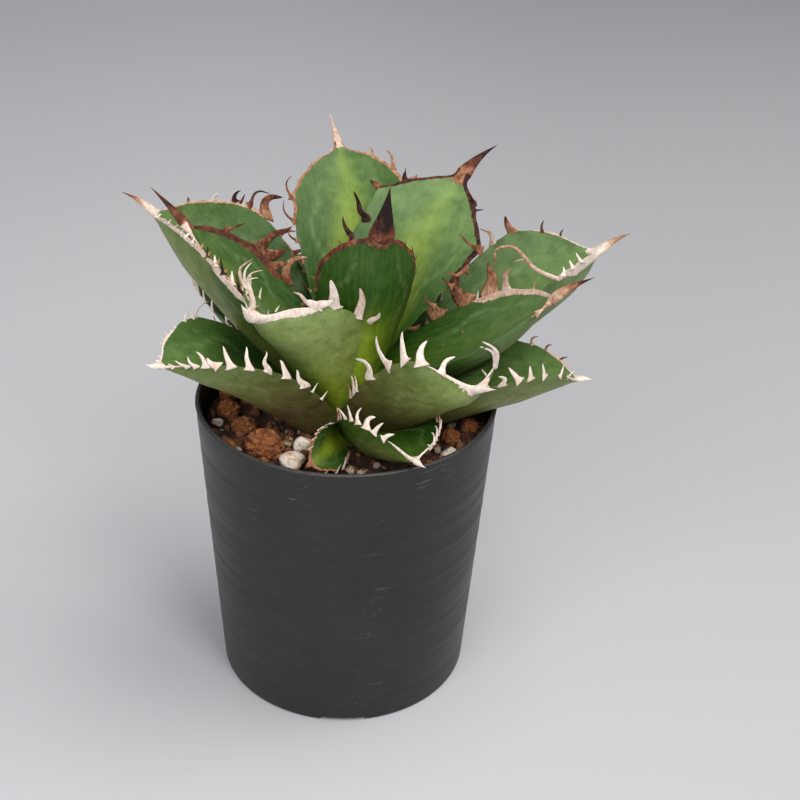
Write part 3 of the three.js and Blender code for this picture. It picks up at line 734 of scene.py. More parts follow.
def cork_at(leaf, way, place):
    """How corky a spot is and the tone there, on the rims and where the spine runs down."""
    t = min(way, 1.0)
    rim_from, rim_width, rim_tone = leaf.rims[0 if place > 0 else 1]
    reach, top_tone, low_tone = leaf.tips
    inset = (1 - abs(place)) * leaf.half_width(t)
    from_tip = (1 - t) * leaf.length - (way - t) * leaf.spine[0]
    grown = ease(t, rim_from, rim_from + 0.1) * rim_width
    grown += 1.2 * math.exp(-max(from_tip, 0.0) / reach)
    rim = min(1, 4 * grown) - inset / grown * 0.5
    tip = 1 - from_tip / reach * 0.5
    pointed = ease(from_tip, 0.2 * leaf.spine[0], -0.9 * leaf.spine[0])
    return max(rim, tip, 0.0), rim_tone if rim > tip else blend(low_tone, top_tone, pointed)


def build_leaf(leaf, stripe, bloom, blush, deep):
    """Blade and spine in one skin, then the teeth, with the finish marks on every vertex. The deep
    mark holds the leaf's own deep green plus painted shade towards the base and the margins.
    """
    mesh = bmesh.new()
    layers = {name: mesh.verts.layers.float.new(name) for name in FINISH_MARKS}
    blade_share = 0.82

    def way_of(way):
        if way < blade_share:
            return way / blade_share
        return 1 + (way - blade_share) / (1 - blade_share)

    def spot(turn, way):
        return leaf.body(way_of(way), turn) * MM

    def marks(vert, turn, way):
        way = way_of(way)
        t = min(way, 1.0)
        place = math.cos(turn)
        out = abs(place)
        cork, tone = cork_at(leaf, way, place)
        bud_print = math.exp(-((out - 0.62 + 0.10 * math.sin(t * 19)) / 0.035) ** 2)
        values = {
            "side": place * leaf.half_width(t), "run": t * leaf.length, "cork": cork, "tone": tone,
            "bloom": bloom * ease(t, 0.15, 0.95),
            "print": bud_print * ease(t, 0.2, 0.5) * (1 - ease(t, 0.75, 0.92))}
        if math.sin(turn) < -1e-6:
            values["under"] = 1.0
            values["blush"] = blush * (1 - ease(t, 0.2, 0.95)) * (1 - 0.4 * out)
            values["stripe"] = stripe * 0.7 * (1 - ease(t, 0.1, 0.7)) * (1 - out)
            # Underside: painted shade, darker towards the margins and the base, on top of the leaf's
            # own deep green.
            values["deep"] = deep + 0.4 * ease(out, 0.4, 1.0) + 0.25 * (1 - ease(t, 0.1, 0.6))
        else:
            spread = blend(1.2, 0.4, ease(t, 0.0, 0.8))
            # Upper face: shade is painted shade, darker towards the margins and the base, added to
            # the leaf's own deep green.
            shade = 0.55 * ease(out, 0.35, 1.0) + 0.8 * (1 - ease(t, 0.2, 0.9))
            values["stripe"] = stripe * (1 - ease(out, 0.0, spread)) * blend(1, 0.15, t)
            values["deep"] = min(deep * blend(1.6, 0.7, t) + shade, 1.0)
        for name, value in values.items():
            vert[layers[name]] = value

    sleeve(mesh, 64, 140, spot, marks)
    for one in leaf.teeth:
        length = one["length"]
        if "path" in one:
            line = prong_line(leaf, one["t"], one["side"], one["lean"], one["path"])
            grow_tooth(mesh, layers, line, one["width"], 0.3, 0.42, one["tone"])
        else:
            bends = (one[key] for key in ("stand", "lean", "curl", "sway"))
            line = tooth_line(leaf, one["t"], one["side"], length, *bends)
            grow_tooth(mesh, layers, line, one["width"] * length, 0.10 * length + 0.3,
                       min(0.46, 0.07 * length + 0.12), one["tone"])
    bmesh.ops.recalc_face_normals(mesh, faces=mesh.faces)
    return mesh


def tooth(side, tone, t, length, lean=0, curl=0, stand=60, sway=0, width=0.3):
    return dict(t=t, side=side, length=length, stand=stand, lean=lean, curl=curl, sway=sway,
                width=width, tone=tone)


def teeth(side, tone, *places):
    """Teeth along one margin, each given by its t, length, lean, curl, stand, sway and width."""
    return [tooth(side, tone, *place) for place in places]


def prong(side, tone, t, width, lean, *path):
    """A long prong that wanders through points in millimetres, sideways and up from its root.

    lean is how far it comes forward for each millimetre that it rises.
    """
    return [dict(t=t, side=side, length=1.0, width=width, tone=tone, lean=lean, path=path)]


def run(side, stand, tone, width, seed, start, stop, count, length):
    """An uneven run of count teeth between two places on a margin."""
    chance = random.Random(seed)
    return [
        tooth(side, tone, blend(start, stop, (i + chance.uniform(0.3, 0.7)) / count),
              length * chance.uniform(0.7, 1.25), chance.uniform(-15, 30), chance.uniform(-25, 40),
              stand + chance.uniform(-8, 8), chance.uniform(-25, 25),
              width * chance.uniform(0.85, 1.2))
        for i in range(count)]


def runs_alike(stand, tone, width, seed, *places):
    """The same kind of run along both margins."""
    return run(1, stand, tone, width, seed, *places) + run(-1, stand, tone, width, seed + 1, *places)


def grow(name, spines, stripe=0.3, bloom=0.5, blush=0, deep=0, **shape):
    """One leaf: how striped, bloomed, blushed and deep its green is, then its shape. Painted shade is
    added to the deep green on the mesh.
    """
    leaf = Leaf(**shape)
    leaf.teeth = spines
    mesh = build_leaf(leaf, stripe, bloom, blush, deep)
    piece_from(mesh, name + "_grown", agave_leaf, [name])


agave_leaf = leaf_finish()
BONE = (0.12, 0.03)
TAN = (0.25, 0.42)
BROWN = (0.50, 0.72)
DARK = (0.85, 1.0)

grow(
    "leaf_01_centre_front",
    run(1, 10, BROWN, 0.3, 11, 0.35, 0.9, 7, 1.6)
    + run(-1, 10, BROWN, 0.3, 12, 0.35, 0.9, 6, 1.8),
    stripe=1.1, bloom=0.05, deep=1,
    direction=293, swing=-0.5, rise=(76.5, 70), length=62, width=34.5, height=121.5, radius=8.4,
    roll=-13, fold=(0.46, 0.56), clasp=0.56, widest=0.61, taper=1.9, spine=(19.5, -1, -2),
    spine_width=8.5, rims=((0.45, 0.7, 0.66), (0.45, 0.8, 0.66)), tips=(4.5, 1.4, 0.55))
grow(
    "leaf_02_upright_right",
    prong(1, DARK, 0.56, 3, 0, (2.5, 0.5), (0, 3), (-1, 7), (-2.5, 10.5))
    + teeth(1, DARK, (0.48, 8, 25, 35, 20, -5, 0.3), (0.82, 3, 0, 30, 15, -10, 0.8),
            (0.3, 4, 10, 40, 20, 0, 0.3))
    + teeth(1, BROWN, (0.725, 3.5, -70, 70, 20, 15, 0.9), (0.845, 2, 25, 40, 10, 40, 0.9))
    + teeth(-1, DARK, (0.9, 6.5, 20, -20, 105, 15, 0.24), (0.87, 3, -20, 0, 20, 0, 0.3))
    + teeth(-1, BROWN, (0.71, 13, 15, -35, 105, -20, 0.16), (0.6, 8, -30, -30, 120, -40, 0.26),
            (0.5, 5, 0, 20, 110, 0, 0.3), (0.38, 5, 0, 20, 110, 0, 0.3)),
    stripe=1.1, bloom=0.8, deep=0.2,
    direction=39.5, swing=-0.5, rise=(61, 41.5), length=74.5, width=42, height=122, radius=4.9,
    roll=25, fold=(0.59, 0.07), clasp=0.47, widest=0.72, taper=1.15, spine=(16, -9, -11),
    spine_width=5.5, rims=((0.68, 1.2, 0.85), (0.45, 1.7, 0.82)), tips=(5, 1, 0.5))
grow(
    "leaf_03_upright_back",
    teeth(1, BROWN, (0.71, 10, 60, 50, 5, -20, 0.1), (0.595, 10, 45, 60, 10, -20, 0.11),
          (0.51, 6.5, 70, -15, 0, -40, 0.14), (0.42, 5, 40, 30, 10, 0, 0.2),
          (0.3, 4, 30, 20, 10, 0, 0.2))
    + run(1, 10, TAN, 0.5, 32, 0.78, 0.97, 6, 1.5)
    + teeth(-1, (0.5, 0.4), (0.82, 8.5, 30, 75, 15, 0, 0.18))
    + teeth(-1, (0.3, 0.5), (0.905, 3.5, 25, 30, 10, -30, 0.3))
    + teeth(-1, BROWN, (0.75, 5, 40, 30, 15, 10, 0.25), (0.66, 6, 40, 30, 15, -10, 0.25))
    + run(-1, 15, TAN, 0.5, 35, 0.86, 0.97, 4, 1.3)
    + run(-1, 15, BROWN, 0.22, 34, 0.2, 0.6, 5, 4),
    stripe=1.1, bloom=0.4, deep=0.4,
    direction=85, swing=22.5, rise=(55, 35), length=87, width=40.5, height=116.5, radius=5.7,
    roll=-4, fold=(0.62, 0.23), clasp=0.39, widest=0.7, taper=1.75, spine=(13.5, 2, 1),
    spine_width=3.4, rims=((0.55, 1, 0.45), (0.5, 1.1, 0.4)), tips=(3, 0.25, 0.2))
grow(
    "leaf_04_inner_left",
    teeth(-1, BROWN, (0.82, 8, -80, 50, 35, 15, 0.2), (0.645, 15, -25, 35, 60, 25, 0.27),
          (0.6, 8, -50, 60, 50, 0, 0.7), (0.53, 6, -20, -20, 40, 0, 0.6),
          (0.3, 6, 0, -40, 40, 0, 0.3))
    + teeth(-1, (0.58, 0.35), (0.44, 13.5, 40, -60, 40, 20, 0.26))
    + run(1, 60, TAN, 0.3, 42, 0.3, 0.62, 4, 2),
    bloom=0.25, blush=0.1, deep=0.6,
    direction=179.5, swing=-5.5, rise=(47, 52.5), length=74, width=33.5, height=116, radius=6.3,
    roll=-3.5, fold=(0.47, 0.34), clasp=0.52, widest=0.62, taper=1.75, spine=(16, -4, 1),
    spine_width=4.4, rims=((0.55, 1.3, 0.14), (0.42, 2.3, 0.68)), tips=(4, 0.75, 0.58))
grow(
    "leaf_05_inner_right",
    teeth(1, (0.48, 0.3), (0.38, 13, -25, 25, 55, 10, 0.46), (0.27, 7, -50, -10, 70, 0, 0.3))
    + teeth(1, (0.48, 0.62), (0.52, 15, -25, 80, 25, -15, 0.42),
            (0.505, 15, 60, -100, 75, -40, 0.22))
    + teeth(1, (0.34, 0.6), (0.635, 12, 10, 30, 60, 25, 0.5))
    + teeth(1, BONE, (0.57, 3.5, 30, 15, 65, 5, 0.24))
    + teeth(1, (0.22, 0.42), (0.72, 10, 0, 85, 65, 5, 0.34))
    + teeth(1, BROWN, (0.17, 5, -30, -30, 70, 0, 0.3))
    + teeth(-1, (0.35, 0.6), (0.972, 1.8, -5, 10, 0, 5, 1))
    + teeth(-1, TAN, (0.925, 3.2, -40, -25, -20, -15, 0.8)),
    stripe=0.12, blush=0.1, deep=0.6,
    direction=341, swing=-5, rise=(25.5, 45), length=82, width=37, height=114.5, radius=4.7,
    roll=9.5, fold=(0.44, 0.2), clasp=0.58, widest=0.6, taper=1.95, spine=(14, -8, -1),
    spine_width=4.4, rims=((0.52, 2.4, 0.26), (0.93, 1, 0.35)), tips=(4, 0.8, 0.2))
grow(
    "leaf_06_outer_left",
    teeth(-1, TAN, (0.91, 2.5, 20, -40, 35, -10, 0.7))
    + teeth(-1, BONE, (0.845, 3, -5, -45, 25, 15, 0.7))
    + teeth(-1, (0.75, 1), (0.785, 5.5, 40, -110, 30, 0, 0.4), (0.765, 3.5, 0, -20, 25, -10, 0.35))
    + teeth(-1, (0.6, 0.95), (0.73, 10.5, -40, -5, 10, 45, 0.12))
    + teeth(-1, (0.4, 0.8), (0.66, 12, 25, -45, 25, 35, 0.34))
    + teeth(-1, BROWN, (0.57, 6, 0, -60, 20, 0, 0.3), (0.48, 6, 0, -60, 20, 0, 0.3),
            (0.4, 5, 0, -60, 20, 0, 0.3))
    + run(1, 75, BONE, 0.8, 65, 0.78, 0.97, 7, 1.6)
    + run(1, 75, (0.25, 0.5), 0.7, 66, 0.45, 0.78, 8, 2.2)
    + teeth(1, DARK, (0.72, 3.5, 55, 0, 75, 0, 0.3), (0.64, 5, 60, 0, 75, 0, 0.22),
            (0.55, 6, 60, 0, 75, 0, 0.2), (0.47, 5, 50, 0, 75, 0, 0.25))
    + teeth(1, BONE, (0.68, 3, 50, 0, 75, 0, 0.5), (0.59, 4, 50, 0, 75, 0, 0.4),
            (0.51, 4, 50, 0, 75, 0, 0.4))
    + teeth(1, BONE, (0.4, 4, 40, 10, 70, 0, 0.3), (0.33, 3, 0, 30, 60, 0, 0.3)),
    stripe=0.4, bloom=0.35, blush=0.35, deep=0.15,
    direction=164.5, swing=-0.5, rise=(47, 40), length=87.5, width=49, height=110, radius=6.6,
    roll=0.5, fold=(0.54, 0.72), clasp=0.58, widest=0.68, taper=1.6, thickness=11.5,
    spine=(11, -14, 3), spine_width=3.6, rims=((0.5, 1, 0.14), (0.6, 1, 0.3)),
    tips=(3.5, 0.62, 0.08))
grow(
    "leaf_07_front_left",
    prong(-1, (0.05, 0.35), 0.96, 1.8, 0, (1.5, 2.5), (1, 7), (-1.5, 10.5), (-2.5, 14.5),
          (-1.5, 16.5), (2, 19))
    + prong(-1, BONE, 0.955, 1.6, 0, (1, 2), (1, 7.5), (-1, 11.5), (-0.5, 15), (1.5, 17.5))
    + prong(-1, (0.05, 0.2), 0.95, 1.4, 0, (1.5, 1.5), (1, 7.5), (0, 11), (1.5, 13.5), (5, 14.5))
    + prong(-1, BONE, 0.945, 1.2, 0, (1, 1.5), (1, 7), (0, 9.5), (1, 11), (3.5, 11.5))
    + prong(1, BONE, 0.835, 5, 0.3, (-1, 1), (-3, 2.8))
    + prong(1, BONE, 0.835, 4, 0.3, (1, 1), (3.5, 1.8), (5, 3))
    + prong(1, (0.06, 0.3), 0.835, 1.8, 0.3, (-3, 2), (-5, 5), (-7.3, 6))
    + prong(1, BONE, 0.76, 5.2, 0.35, (-0.5, 1), (-0.5, 6), (-1.5, 11.5))
    + prong(1, (0.1, 0.25), 0.62, 3.8, 0.4, (0, 1), (1, 6), (1, 9), (0.3, 12.5))
    + prong(1, (0.3, 0.1), 0.52, 3.4, 0.75, (0, 0.5), (1.5, 3.5), (3.5, 5.5), (4, 8))
    + teeth(1, (0.4, 0.5), (0.45, 7, -30, -20, 30, 10, 0.36))
    + teeth(1, TAN, (0.36, 4.5, 20, 0, 60, 0, 0.4))
    + run(-1, 40, BONE, 0.35, 71, 0.3, 0.85, 5, 5),
    stripe=1.9, bloom=0.75, deep=-0.2,
    direction=227.5, swing=4.5, rise=(62, 33), length=65, width=43.5, height=109.5, radius=2.1,
    roll=8.5, fold=(0.53, 0.54), clasp=0.62, widest=0.65, taper=1.85, spine=(8, 18, 4),
    spine_width=5.5, rims=((0.78, 2.3, 0.08), (0.9, 1.2, 0.1)), tips=(4, 0.1, 0.12))
grow(
    "leaf_08_outer_right",
    teeth(1, (0.2, 0.35), (0.7, 8.5, -5, -5, 35, 30, 0.24))
    + teeth(1, (0.35, 0.75), (0.785, 6.5, -15, 5, 20, -10, 0.55))
    + teeth(1, (0.6, 1), (0.875, 4, -5, 10, 5, -15, 0.32), (0.915, 3, -5, 15, 15, -10, 0.34))
    + prong(-1, (0.15, 0.5), 0.765, 1.7, 0, (-1, -1), (-9, 2.5), (-12.5, 6.5), (-17, 10.5),
            (-22.5, 9.5), (-22.5, 5), (-23, 1.5))
    + prong(-1, (0.12, 0.35), 0.77, 1.6, 0, (-2, -1.5), (-9.5, 2.5), (-13, 5.5), (-17, 4.5))
    + teeth(-1, BONE, (0.775, 3.2, 30, 50, 60, 40, 0.7), (0.825, 2.6, 20, -10, 65, -5, 0.9),
            (0.87, 3.6, 50, -50, 75, -20, 0.6))
    + run(1, 20, BROWN, 0.25, 81, 0.2, 0.6, 5, 4)
    + run(-1, 55, TAN, 0.25, 82, 0.25, 0.7, 5, 5),
    stripe=0.2, bloom=0.75, blush=0.4, deep=0.35,
    direction=19, swing=3, rise=(18.5, 33.5), length=100, width=47.5, height=108.5, radius=6.8,
    roll=-4, fold=(0.48, 0.72), clasp=0.55, widest=0.74, taper=1.85, thickness=11.5,
    spine=(12, -12, -4), spine_width=4.2, rims=((0.82, 0.8, 0.15), (0.74, 2.8, 0.1)),
    tips=(5, 0.55, 0.1))
grow(
    "leaf_09_back_right",
    runs_alike(40, TAN, 0.26, 91, 0.25, 0.93, 8, 5),
    stripe=0.6, bloom=0.6, blush=0.3,
    direction=62, swing=4, rise=(44, 20), length=72, width=40, height=107, radius=6.5, roll=2,
    fold=(0.5, 0.45), clasp=0.5, widest=0.62, thickness=11, spine=(8, -5, 0), spine_width=3.6,
    rims=((0.5, 1, 0.25), (0.5, 1, 0.25)), tips=(4, 0.55, 0.15))
grow(
    "leaf_10_back_left",
    runs_alike(40, TAN, 0.26, 93, 0.25, 0.93, 8, 5),
    stripe=0.6, bloom=0.6, blush=0.3,
    direction=112, swing=-4, rise=(42, 16), length=66, width=38, height=105, radius=6.5, roll=-2,
    fold=(0.5, 0.45), clasp=0.5, widest=0.62, thickness=11, spine=(8, -5, 0), spine_width=3.6,
    rims=((0.5, 1, 0.25), (0.5, 1, 0.25)), tips=(4, 0.55, 0.15))
grow(
    "leaf_11_low_left_back",
    teeth(1, BONE, (0.965, 3, 0, 0, 50, 0, 0.3), (0.93, 4, 0, 0, 50, 10, 0.2),
          (0.88, 5, -10, 10, 45, -5, 0.16), (0.835, 8.5, -10, 10, 50, -10, 0.12),
          (0.77, 7.5, 0, 10, 55, 10, 0.14), (0.7, 8, -5, -5, 55, 10, 0.14),
          (0.555, 6, 50, -10, 60, 20, 0.3), (0.565, 7, -10, -10, 40, 40, 0.14))
    + teeth(1, TAN, (0.44, 4.5, 60, -30, 60, -20, 0.16), (0.36, 3, 0, 0, 60, 0, 0.2))
    + run(-1, 30, BONE, 0.22, 112, 0.25, 0.95, 9, 3.5),
    bloom=0.2, blush=0.2, deep=0.7,
    direction=143.5, swing=0.5, rise=(35, 18), length=71.5, width=27.5, height=104, radius=8,
    roll=-4.5, fold=(0.54, 0.43), clasp=0.55, widest=0.56, spine=(3.5, 0, 0), spine_width=2.2,
    rims=((0.8, 0.7, 0.1), (0.8, 0.5, 0.1)), tips=(2.5, 0.05, 0.1))
grow(
    "leaf_12_front_right",
    teeth(-1, (0.15, 0.1), (0.27, 9, -10, 10, 65, 30, 0.2), (0.3, 5, 20, 10, 60, 20, 0.3))
    + teeth(-1, TAN, (0.22, 4.5, 10, 10, 60, 20, 0.3))
    + teeth(-1, BONE, (0.465, 11, 20, -40, 30, 45, 0.3), (0.66, 11.5, -40, 100, 35, 5, 0.3),
            (0.795, 9.5, -30, 70, 50, 15, 0.36), (0.87, 8, -30, 55, 50, -5, 0.42),
            (0.92, 7.5, 5, 25, 60, -20, 0.32))
    + teeth(1, BONE, (0.965, 10, -80, -10, 50, -30, 0.22))
    + prong(1, BONE, 0.92, 2.2, 0.5, (0, 0), (-0.5, 4), (-2, 7.5), (-6, 9.5))
    + prong(1, BONE, 0.92, 2.2, 0.5, (0, 0), (0, 6), (-2, 9.5), (-5.5, 12))
    + prong(1, TAN, 0.91, 1.2, 0.5, (-1, -1), (-1.5, 3.5), (-4.5, 6))
    + prong(1, BONE, 0.91, 1.2, 0.5, (-1, -1), (-1, 6.5), (0, 10))
    + run(1, 50, TAN, 0.3, 121, 0.3, 0.8, 4, 4),
    stripe=0.2, bloom=0.3, blush=1.1, deep=0.15,
    direction=319.5, swing=-12.5, rise=(47, 22), length=61, width=39, height=102, radius=9.4,
    roll=-11.5, fold=(0.51, 0.58), clasp=0.58, widest=0.8, taper=1.85, thickness=13,
    spine=(8, 1, 0), spine_width=3.6, rims=((0.9, 1.2, 0.08), (0.9, 2, 0.08)),
    tips=(3.5, 0.05, 0.08))
grow(
    "leaf_13_low_left",
    teeth(1, BONE, (0.975, 2, 40, 0, 50, 0, 0.6), (0.948, 2.5, 50, -5, 55, -5, 0.6),
          (0.92, 4, 25, 45, 50, 25, 0.4), (0.9, 4, 20, 20, 60, 30, 0.4),
          (0.872, 5.5, 0, 55, 60, 0, 0.34), (0.838, 4.2, 50, 0, 60, 20, 0.7),
          (0.795, 7, 20, 5, 60, 5, 0.32), (0.73, 7, 0, 35, 60, 20, 0.3),
          (0.65, 8, -15, 95, 40, 50, 0.26), (0.55, 6.5, 15, 75, 65, 20, 0.42),
          (0.43, 7.5, 40, 55, 50, 35, 0.34), (0.36, 3, 0, 0, 60, 0, 0.4),
          (0.28, 3, 0, 0, 60, 0, 0.4))
    + teeth(-1, BONE, (0.705, 10.5, -60, -10, 20, 10, 0.12), (0.75, 5.5, -45, -45, 20, 10, 0.2))
    + run(-1, 20, BONE, 0.7, 132, 0.8, 0.98, 7, 1.5)
    + run(-1, 20, (0.3, 0.5), 0.6, 133, 0.4, 0.7, 5, 1.6),
    stripe=0.1, bloom=0.3, blush=1.1, deep=0.15,
    direction=211, swing=10, rise=(52.5, 15.5), length=76.5, width=41, height=100.5, radius=10.2,
    roll=-2.5, fold=(0.52, 0.48), clasp=0.54, widest=0.63, spine=(4, 11, -2), spine_width=2.6,
    rims=((0.93, 1, 0.08), (0.78, 0.9, 0.1)), tips=(3, 0.05, 0.08))
grow(
    "leaf_14_low_right",
    teeth(-1, BONE, (0.65, 5.5, 0, -30, 30, 35, 0.42), (0.715, 6, -40, 15, 60, 5, 0.4),
          (0.76, 5, -25, 25, 40, 10, 0.4), (0.815, 5, -50, 60, 45, 20, 0.34),
          (0.885, 3.8, 40, -60, 60, -10, 0.4), (0.925, 2.8, 50, -50, 40, -20, 0.4),
          (0.96, 1.8, 20, 0, 50, 0, 0.8), (0.52, 4, 0, 0, 60, 0, 0.3), (0.43, 4, 0, 0, 60, 0, 0.3))
    + teeth(1, (0.6, 0.95), (0.72, 4, 5, 10, 50, -10, 0.22))
    + teeth(1, (0.3, 0.6), (0.79, 4.5, -5, 55, 20, -30, 0.26), (0.85, 4, 30, 0, 45, -25, 0.3))
    + teeth(1, (0.5, 0.8), (0.91, 3, 20, 15, 30, -5, 0.3), (0.55, 3, 20, 30, 20, 0, 0.3),
            (0.4, 3, 20, 30, 20, 0, 0.3)),
    stripe=0.2, bloom=0.4, blush=0.8, deep=0.15,
    direction=350, swing=11.5, rise=(31, 2.5), length=76, width=40, height=100, radius=9.2, roll=-6,
    fold=(0.05, 0.69), clasp=0.54, widest=0.59, taper=1.85, thickness=11, spine=(3, -8, -2),
    spine_width=2.8, rims=((0.8, 0.8, 0.25), (0.9, 1, 0.08)), tips=(3, 0.05, 0.08))
grow(
    "leaf_15_low_back",
    runs_alike(40, BONE, 0.28, 151, 0.25, 0.95, 9, 4),
    blush=0.5,
    direction=90, swing=0, rise=(30, 4), length=66, width=36, height=101, radius=9, roll=0,
    fold=(0.4, 0.5), clasp=0.5, widest=0.58, spine=(5, 0, 0), spine_width=2.6,
    rims=((0.8, 0.7, 0.1), (0.8, 0.7, 0.1)), tips=(3, 0.05, 0.1))
grow(
    "leaf_16_low_front",
    teeth(-1, BONE, (0.475, 4.5, -10, -60, 30, 0, 0.36), (0.6, 4.8, -15, -15, 45, 0, 0.4),
          (0.675, 5.5, -20, 35, 60, -20, 0.34), (0.742, 5.5, -10, 60, 65, -20, 0.5),
          (0.795, 4.6, 10, 15, 60, -5, 0.42), (0.85, 4, 40, -10, 55, -15, 0.5))
    + teeth(-1, TAN, (0.36, 4, -20, 20, 50, -20, 0.3), (0.28, 4, -10, 20, 55, 20, 0.25),
            (0.2, 3, 0, 10, 60, -10, 0.3))
    + teeth(1, BONE, (0.79, 7, -10, 40, 55, -20, 0.16), (0.84, 6, -20, 45, 70, -25, 0.18),
            (0.87, 4.5, -15, 35, 80, -25, 0.26), (0.907, 3.5, 20, 30, 70, 0, 0.3))
    + teeth(1, TAN, (0.7, 5, -20, 10, 70, 0, 0.2), (0.6, 5, -20, 10, 70, 10, 0.2)),
    stripe=0.15, bloom=0, blush=0.15, deep=0.5,
    direction=294.5, swing=-2, rise=(26.5, 7.5), length=48, width=31, height=100.5, radius=9.7,
    roll=-13, fold=(0.31, 0.61), clasp=0.55, widest=0.6, thickness=10, spine=(6, 4, 3),
    spine_width=2.6, rims=((0.85, 0.8, 0.08), (0.88, 1.4, 0.08)), tips=(3, 0.05, 0.08))
for name, direction, length, height, seed in (
        ("leaf_17_low_back_right", 44, 56, 100, 171), ("leaf_18_low_back_left", 128, 54, 99.5, 181)):
    grow(
        name,
        runs_alike(40, BONE, 0.28, seed, 0.25, 0.95, 8, 3.5),
        blush=0.5,
        direction=direction, swing=2, rise=(28, 2), length=length, width=32, height=height,
        radius=10, roll=0, fold=(0.4, 0.5), clasp=0.5, widest=0.58, thickness=9.5,
        spine=(4, 0, 0), spine_width=2.4, rims=((0.8, 0.6, 0.1), (0.8, 0.6, 0.1)),
        tips=(3, 0.05, 0.1))
grow(
    "leaf_19_small_front",
    teeth(1, BONE, (0.55, 4.5, 10, 25, 110, -10, 0.2), (0.68, 3.4, 30, -30, 100, -20, 0.2))
    + teeth(1, TAN, (0.8, 2.2, 20, -30, 90, -10, 0.3), (0.45, 4, -20, -20, 110, 0, 0.2),
            (0.38, 3, 0, 0, 100, 0, 0.2))
    + run(-1, 60, (0.2, 0.1), 0.25, 192, 0.3, 0.9, 7, 1.8),
    stripe=1.3, bloom=0, deep=-0.3,
    direction=258, swing=-4, rise=(15, 18), length=44, width=14, height=100, radius=9.5, roll=-57,
    fold=(0.78, 0.19), clasp=0.51, widest=0.6, taper=1.75, thickness=5.5, spine=(3.5, 0, -2),
    spine_width=1.5, rims=((0.6, 0.4, 0.45), (0.5, 0.4, 0.45)), tips=(5, 0.62, 0.45))

# ---- Bud --------------------------------------------------------------------------------------
# The closed spear of unopened leaves at the middle of the rosette, rolled tight round itself.
# It is soft pale green, and its horny point shows brown before the leaf unrolls.


def build_bud():
    low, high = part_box("bud_spear")
    middle = (low + high) / 2
    radius = (high[0] - low[0]) / 2
    tall = high[2] - low[2]
    mesh = bmesh.new()
    layers = {name: mesh.verts.layers.float.new(name) for name in FINISH_MARKS}

    def spot(turn, way):
        part = 0.75 + 0.25 * math.sin(min(way / 0.3, 1.0) * math.pi / 2)
        wide = part if way < 0.3 else blend(part, 0.0, ((way - 0.3) / 0.7) ** 1.25)
        furl = 0.93 + 0.06 * math.sin(turn * 2 + way * 5)
        reach = radius * wide * furl
        return Vector((middle[0] + reach * math.cos(turn), middle[1] + reach * math.sin(turn),
                       low[2] + tall * way))

    def marks(vert, turn, way):
        vert[layers["cork"]] = ease(way, 0.72, 0.86)
        vert[layers["tone"]] = 0.6
        vert[layers["stripe"]] = 0.8
        vert[layers["side"]] = turn * radius / MM
        vert[layers["run"]] = way * tall / MM

    sleeve(mesh, 40, 60, spot, marks)
    bmesh.ops.recalc_face_normals(mesh, faces=mesh.faces)
    return mesh


piece_from(build_bud(), "bud_spear_rolled", agave_leaf, ["bud_spear"])

# ---- Table and backdrop -----------------------------------------------------------------------
# One seamless sheet of pale grey paper, flat under the pot and swept up behind it in one bend.
# Its colour is painted darker towards the right as painted shade, and it's a setting, not a piece of
# the plant.


def paper_finish():
    finish = Finish("pale_paper")
    across = finish.node("ShaderNodeSeparateXYZ", {}, {0: finish.place()})
    # Painted shade: the paper's colour is darker towards the right.
    finish.paint(
        Base_Color=finish.mix(
            finish.between(across, -150, 220), (0.510, 0.505, 0.520), (0.430, 0.425, 0.440)),
        Roughness=0.8)
    return finish.material


def build_sweep():
    mesh = bmesh.new()
    sweep = bmesh.ops.create_grid(mesh, x_segments=2, y_segments=60, size=1.0)["verts"]
    half_width, in_front = 4, 1.8
    floor_run, bend_radius, rise = 3.0, 1.2, 2.0
    bend_run = bend_radius * math.pi / 2
    for vert in sweep:
        run = (vert.co.y + 1) / 2 * (floor_run + bend_run + rise)
        bend = min(max((run - floor_run) / bend_radius, 0.0), math.pi / 2)
        up = max(run - floor_run - bend_run, 0.0)
        y = min(run, floor_run) - in_front + bend_radius * math.sin(bend)
        vert.co = (vert.co.x * half_width, y, bend_radius * (1 - math.cos(bend)) + up)
    for face in mesh.faces:
        face.smooth = True
    data = bpy.data.meshes.new("paper_sweep")
    mesh.to_mesh(data)
    mesh.free()
    return data


paper = bpy.data.objects.new("paper_sweep", build_sweep())
paper.data.materials.append(paper_finish())
bpy.context.scene.collection.objects.link(paper)

# ---- Light ------------------------------------------------------------------------------------
# A broad window-like light high on the right, a gentle fill from the front left, and a small one
# that brightens the paper at the front right, all in an even grey room.


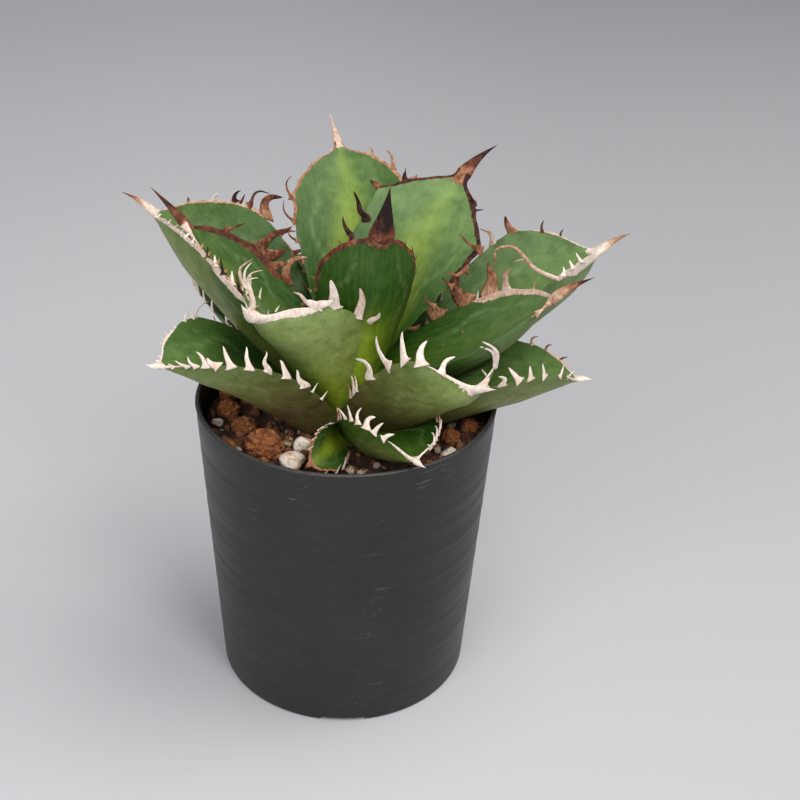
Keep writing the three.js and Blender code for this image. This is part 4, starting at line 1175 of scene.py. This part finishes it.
def hang_light(name, place, aim, size, power, colour):
    lamp = bpy.data.lights.new(name, "AREA")
    lamp.shape = "DISK"
    lamp.size = size
    lamp.energy = power
    lamp.color = colour
    light = bpy.data.objects.new(name, lamp)
    light.location = place
    light.rotation_euler = (Vector(aim) - Vector(place)).to_track_quat("-Z", "Y").to_euler()
    bpy.context.scene.collection.objects.link(light)


hang_light(
    "window", place=(0.50, 0.05, 1.15), aim=(0, 0, 0.1), size=1.1, power=10, colour=(1, 0.98, 0.94))
hang_light(
    "fill", place=(-0.5, -1.1, 0.7), aim=(0, 0, 0.12), size=1.3, power=12, colour=(0.97, 0.98, 1))
hang_light(
    "front_edge", place=(0.16, -0.36, 0.55), aim=(0.14, -0.24, 0), size=0.2, power=1.6,
    colour=(1, 0.97, 0.94))
room = bpy.data.worlds.new("room")
room.use_nodes = True
room.node_tree.nodes["Background"].inputs["Color"].default_value = (0.78, 0.80, 0.85, 1)
room.node_tree.nodes["Background"].inputs["Strength"].default_value = 0.56
bpy.context.scene.world = room

# ---- Camera -----------------------------------------------------------------------------------
# A short telephoto, about half a metre from the plant, looking down on it from the front.
# It is turned a little to the right and tilted a little to one side.

CAMERA_PLACE = (0, -0.4197, 0.3517)
PITCH, YAW, ROLL = math.radians(30.16), math.radians(2.54), math.radians(2.02)
forward = Vector((
    math.sin(YAW) * math.cos(PITCH), math.cos(YAW) * math.cos(PITCH), -math.sin(PITCH)))
level = forward.cross(Vector((0, 0, 1))).normalized()
raised = level.cross(forward)
sideways = level * math.cos(ROLL) + raised * math.sin(ROLL)
upwards = raised * math.cos(ROLL) - level * math.sin(ROLL)
lens = bpy.data.cameras.new("camera")
lens.lens = 62.47
lens.sensor_width = 36
lens.clip_start = 0.01
camera = bpy.data.objects.new("camera", lens)
turned_axes = Matrix((sideways, upwards, -forward)).transposed()
camera.matrix_world = Matrix.Translation(CAMERA_PLACE) @ turned_axes.to_4x4()
bpy.context.scene.collection.objects.link(camera)
bpy.context.scene.camera = camera
bpy.context.scene.view_settings.view_transform = "Standard"
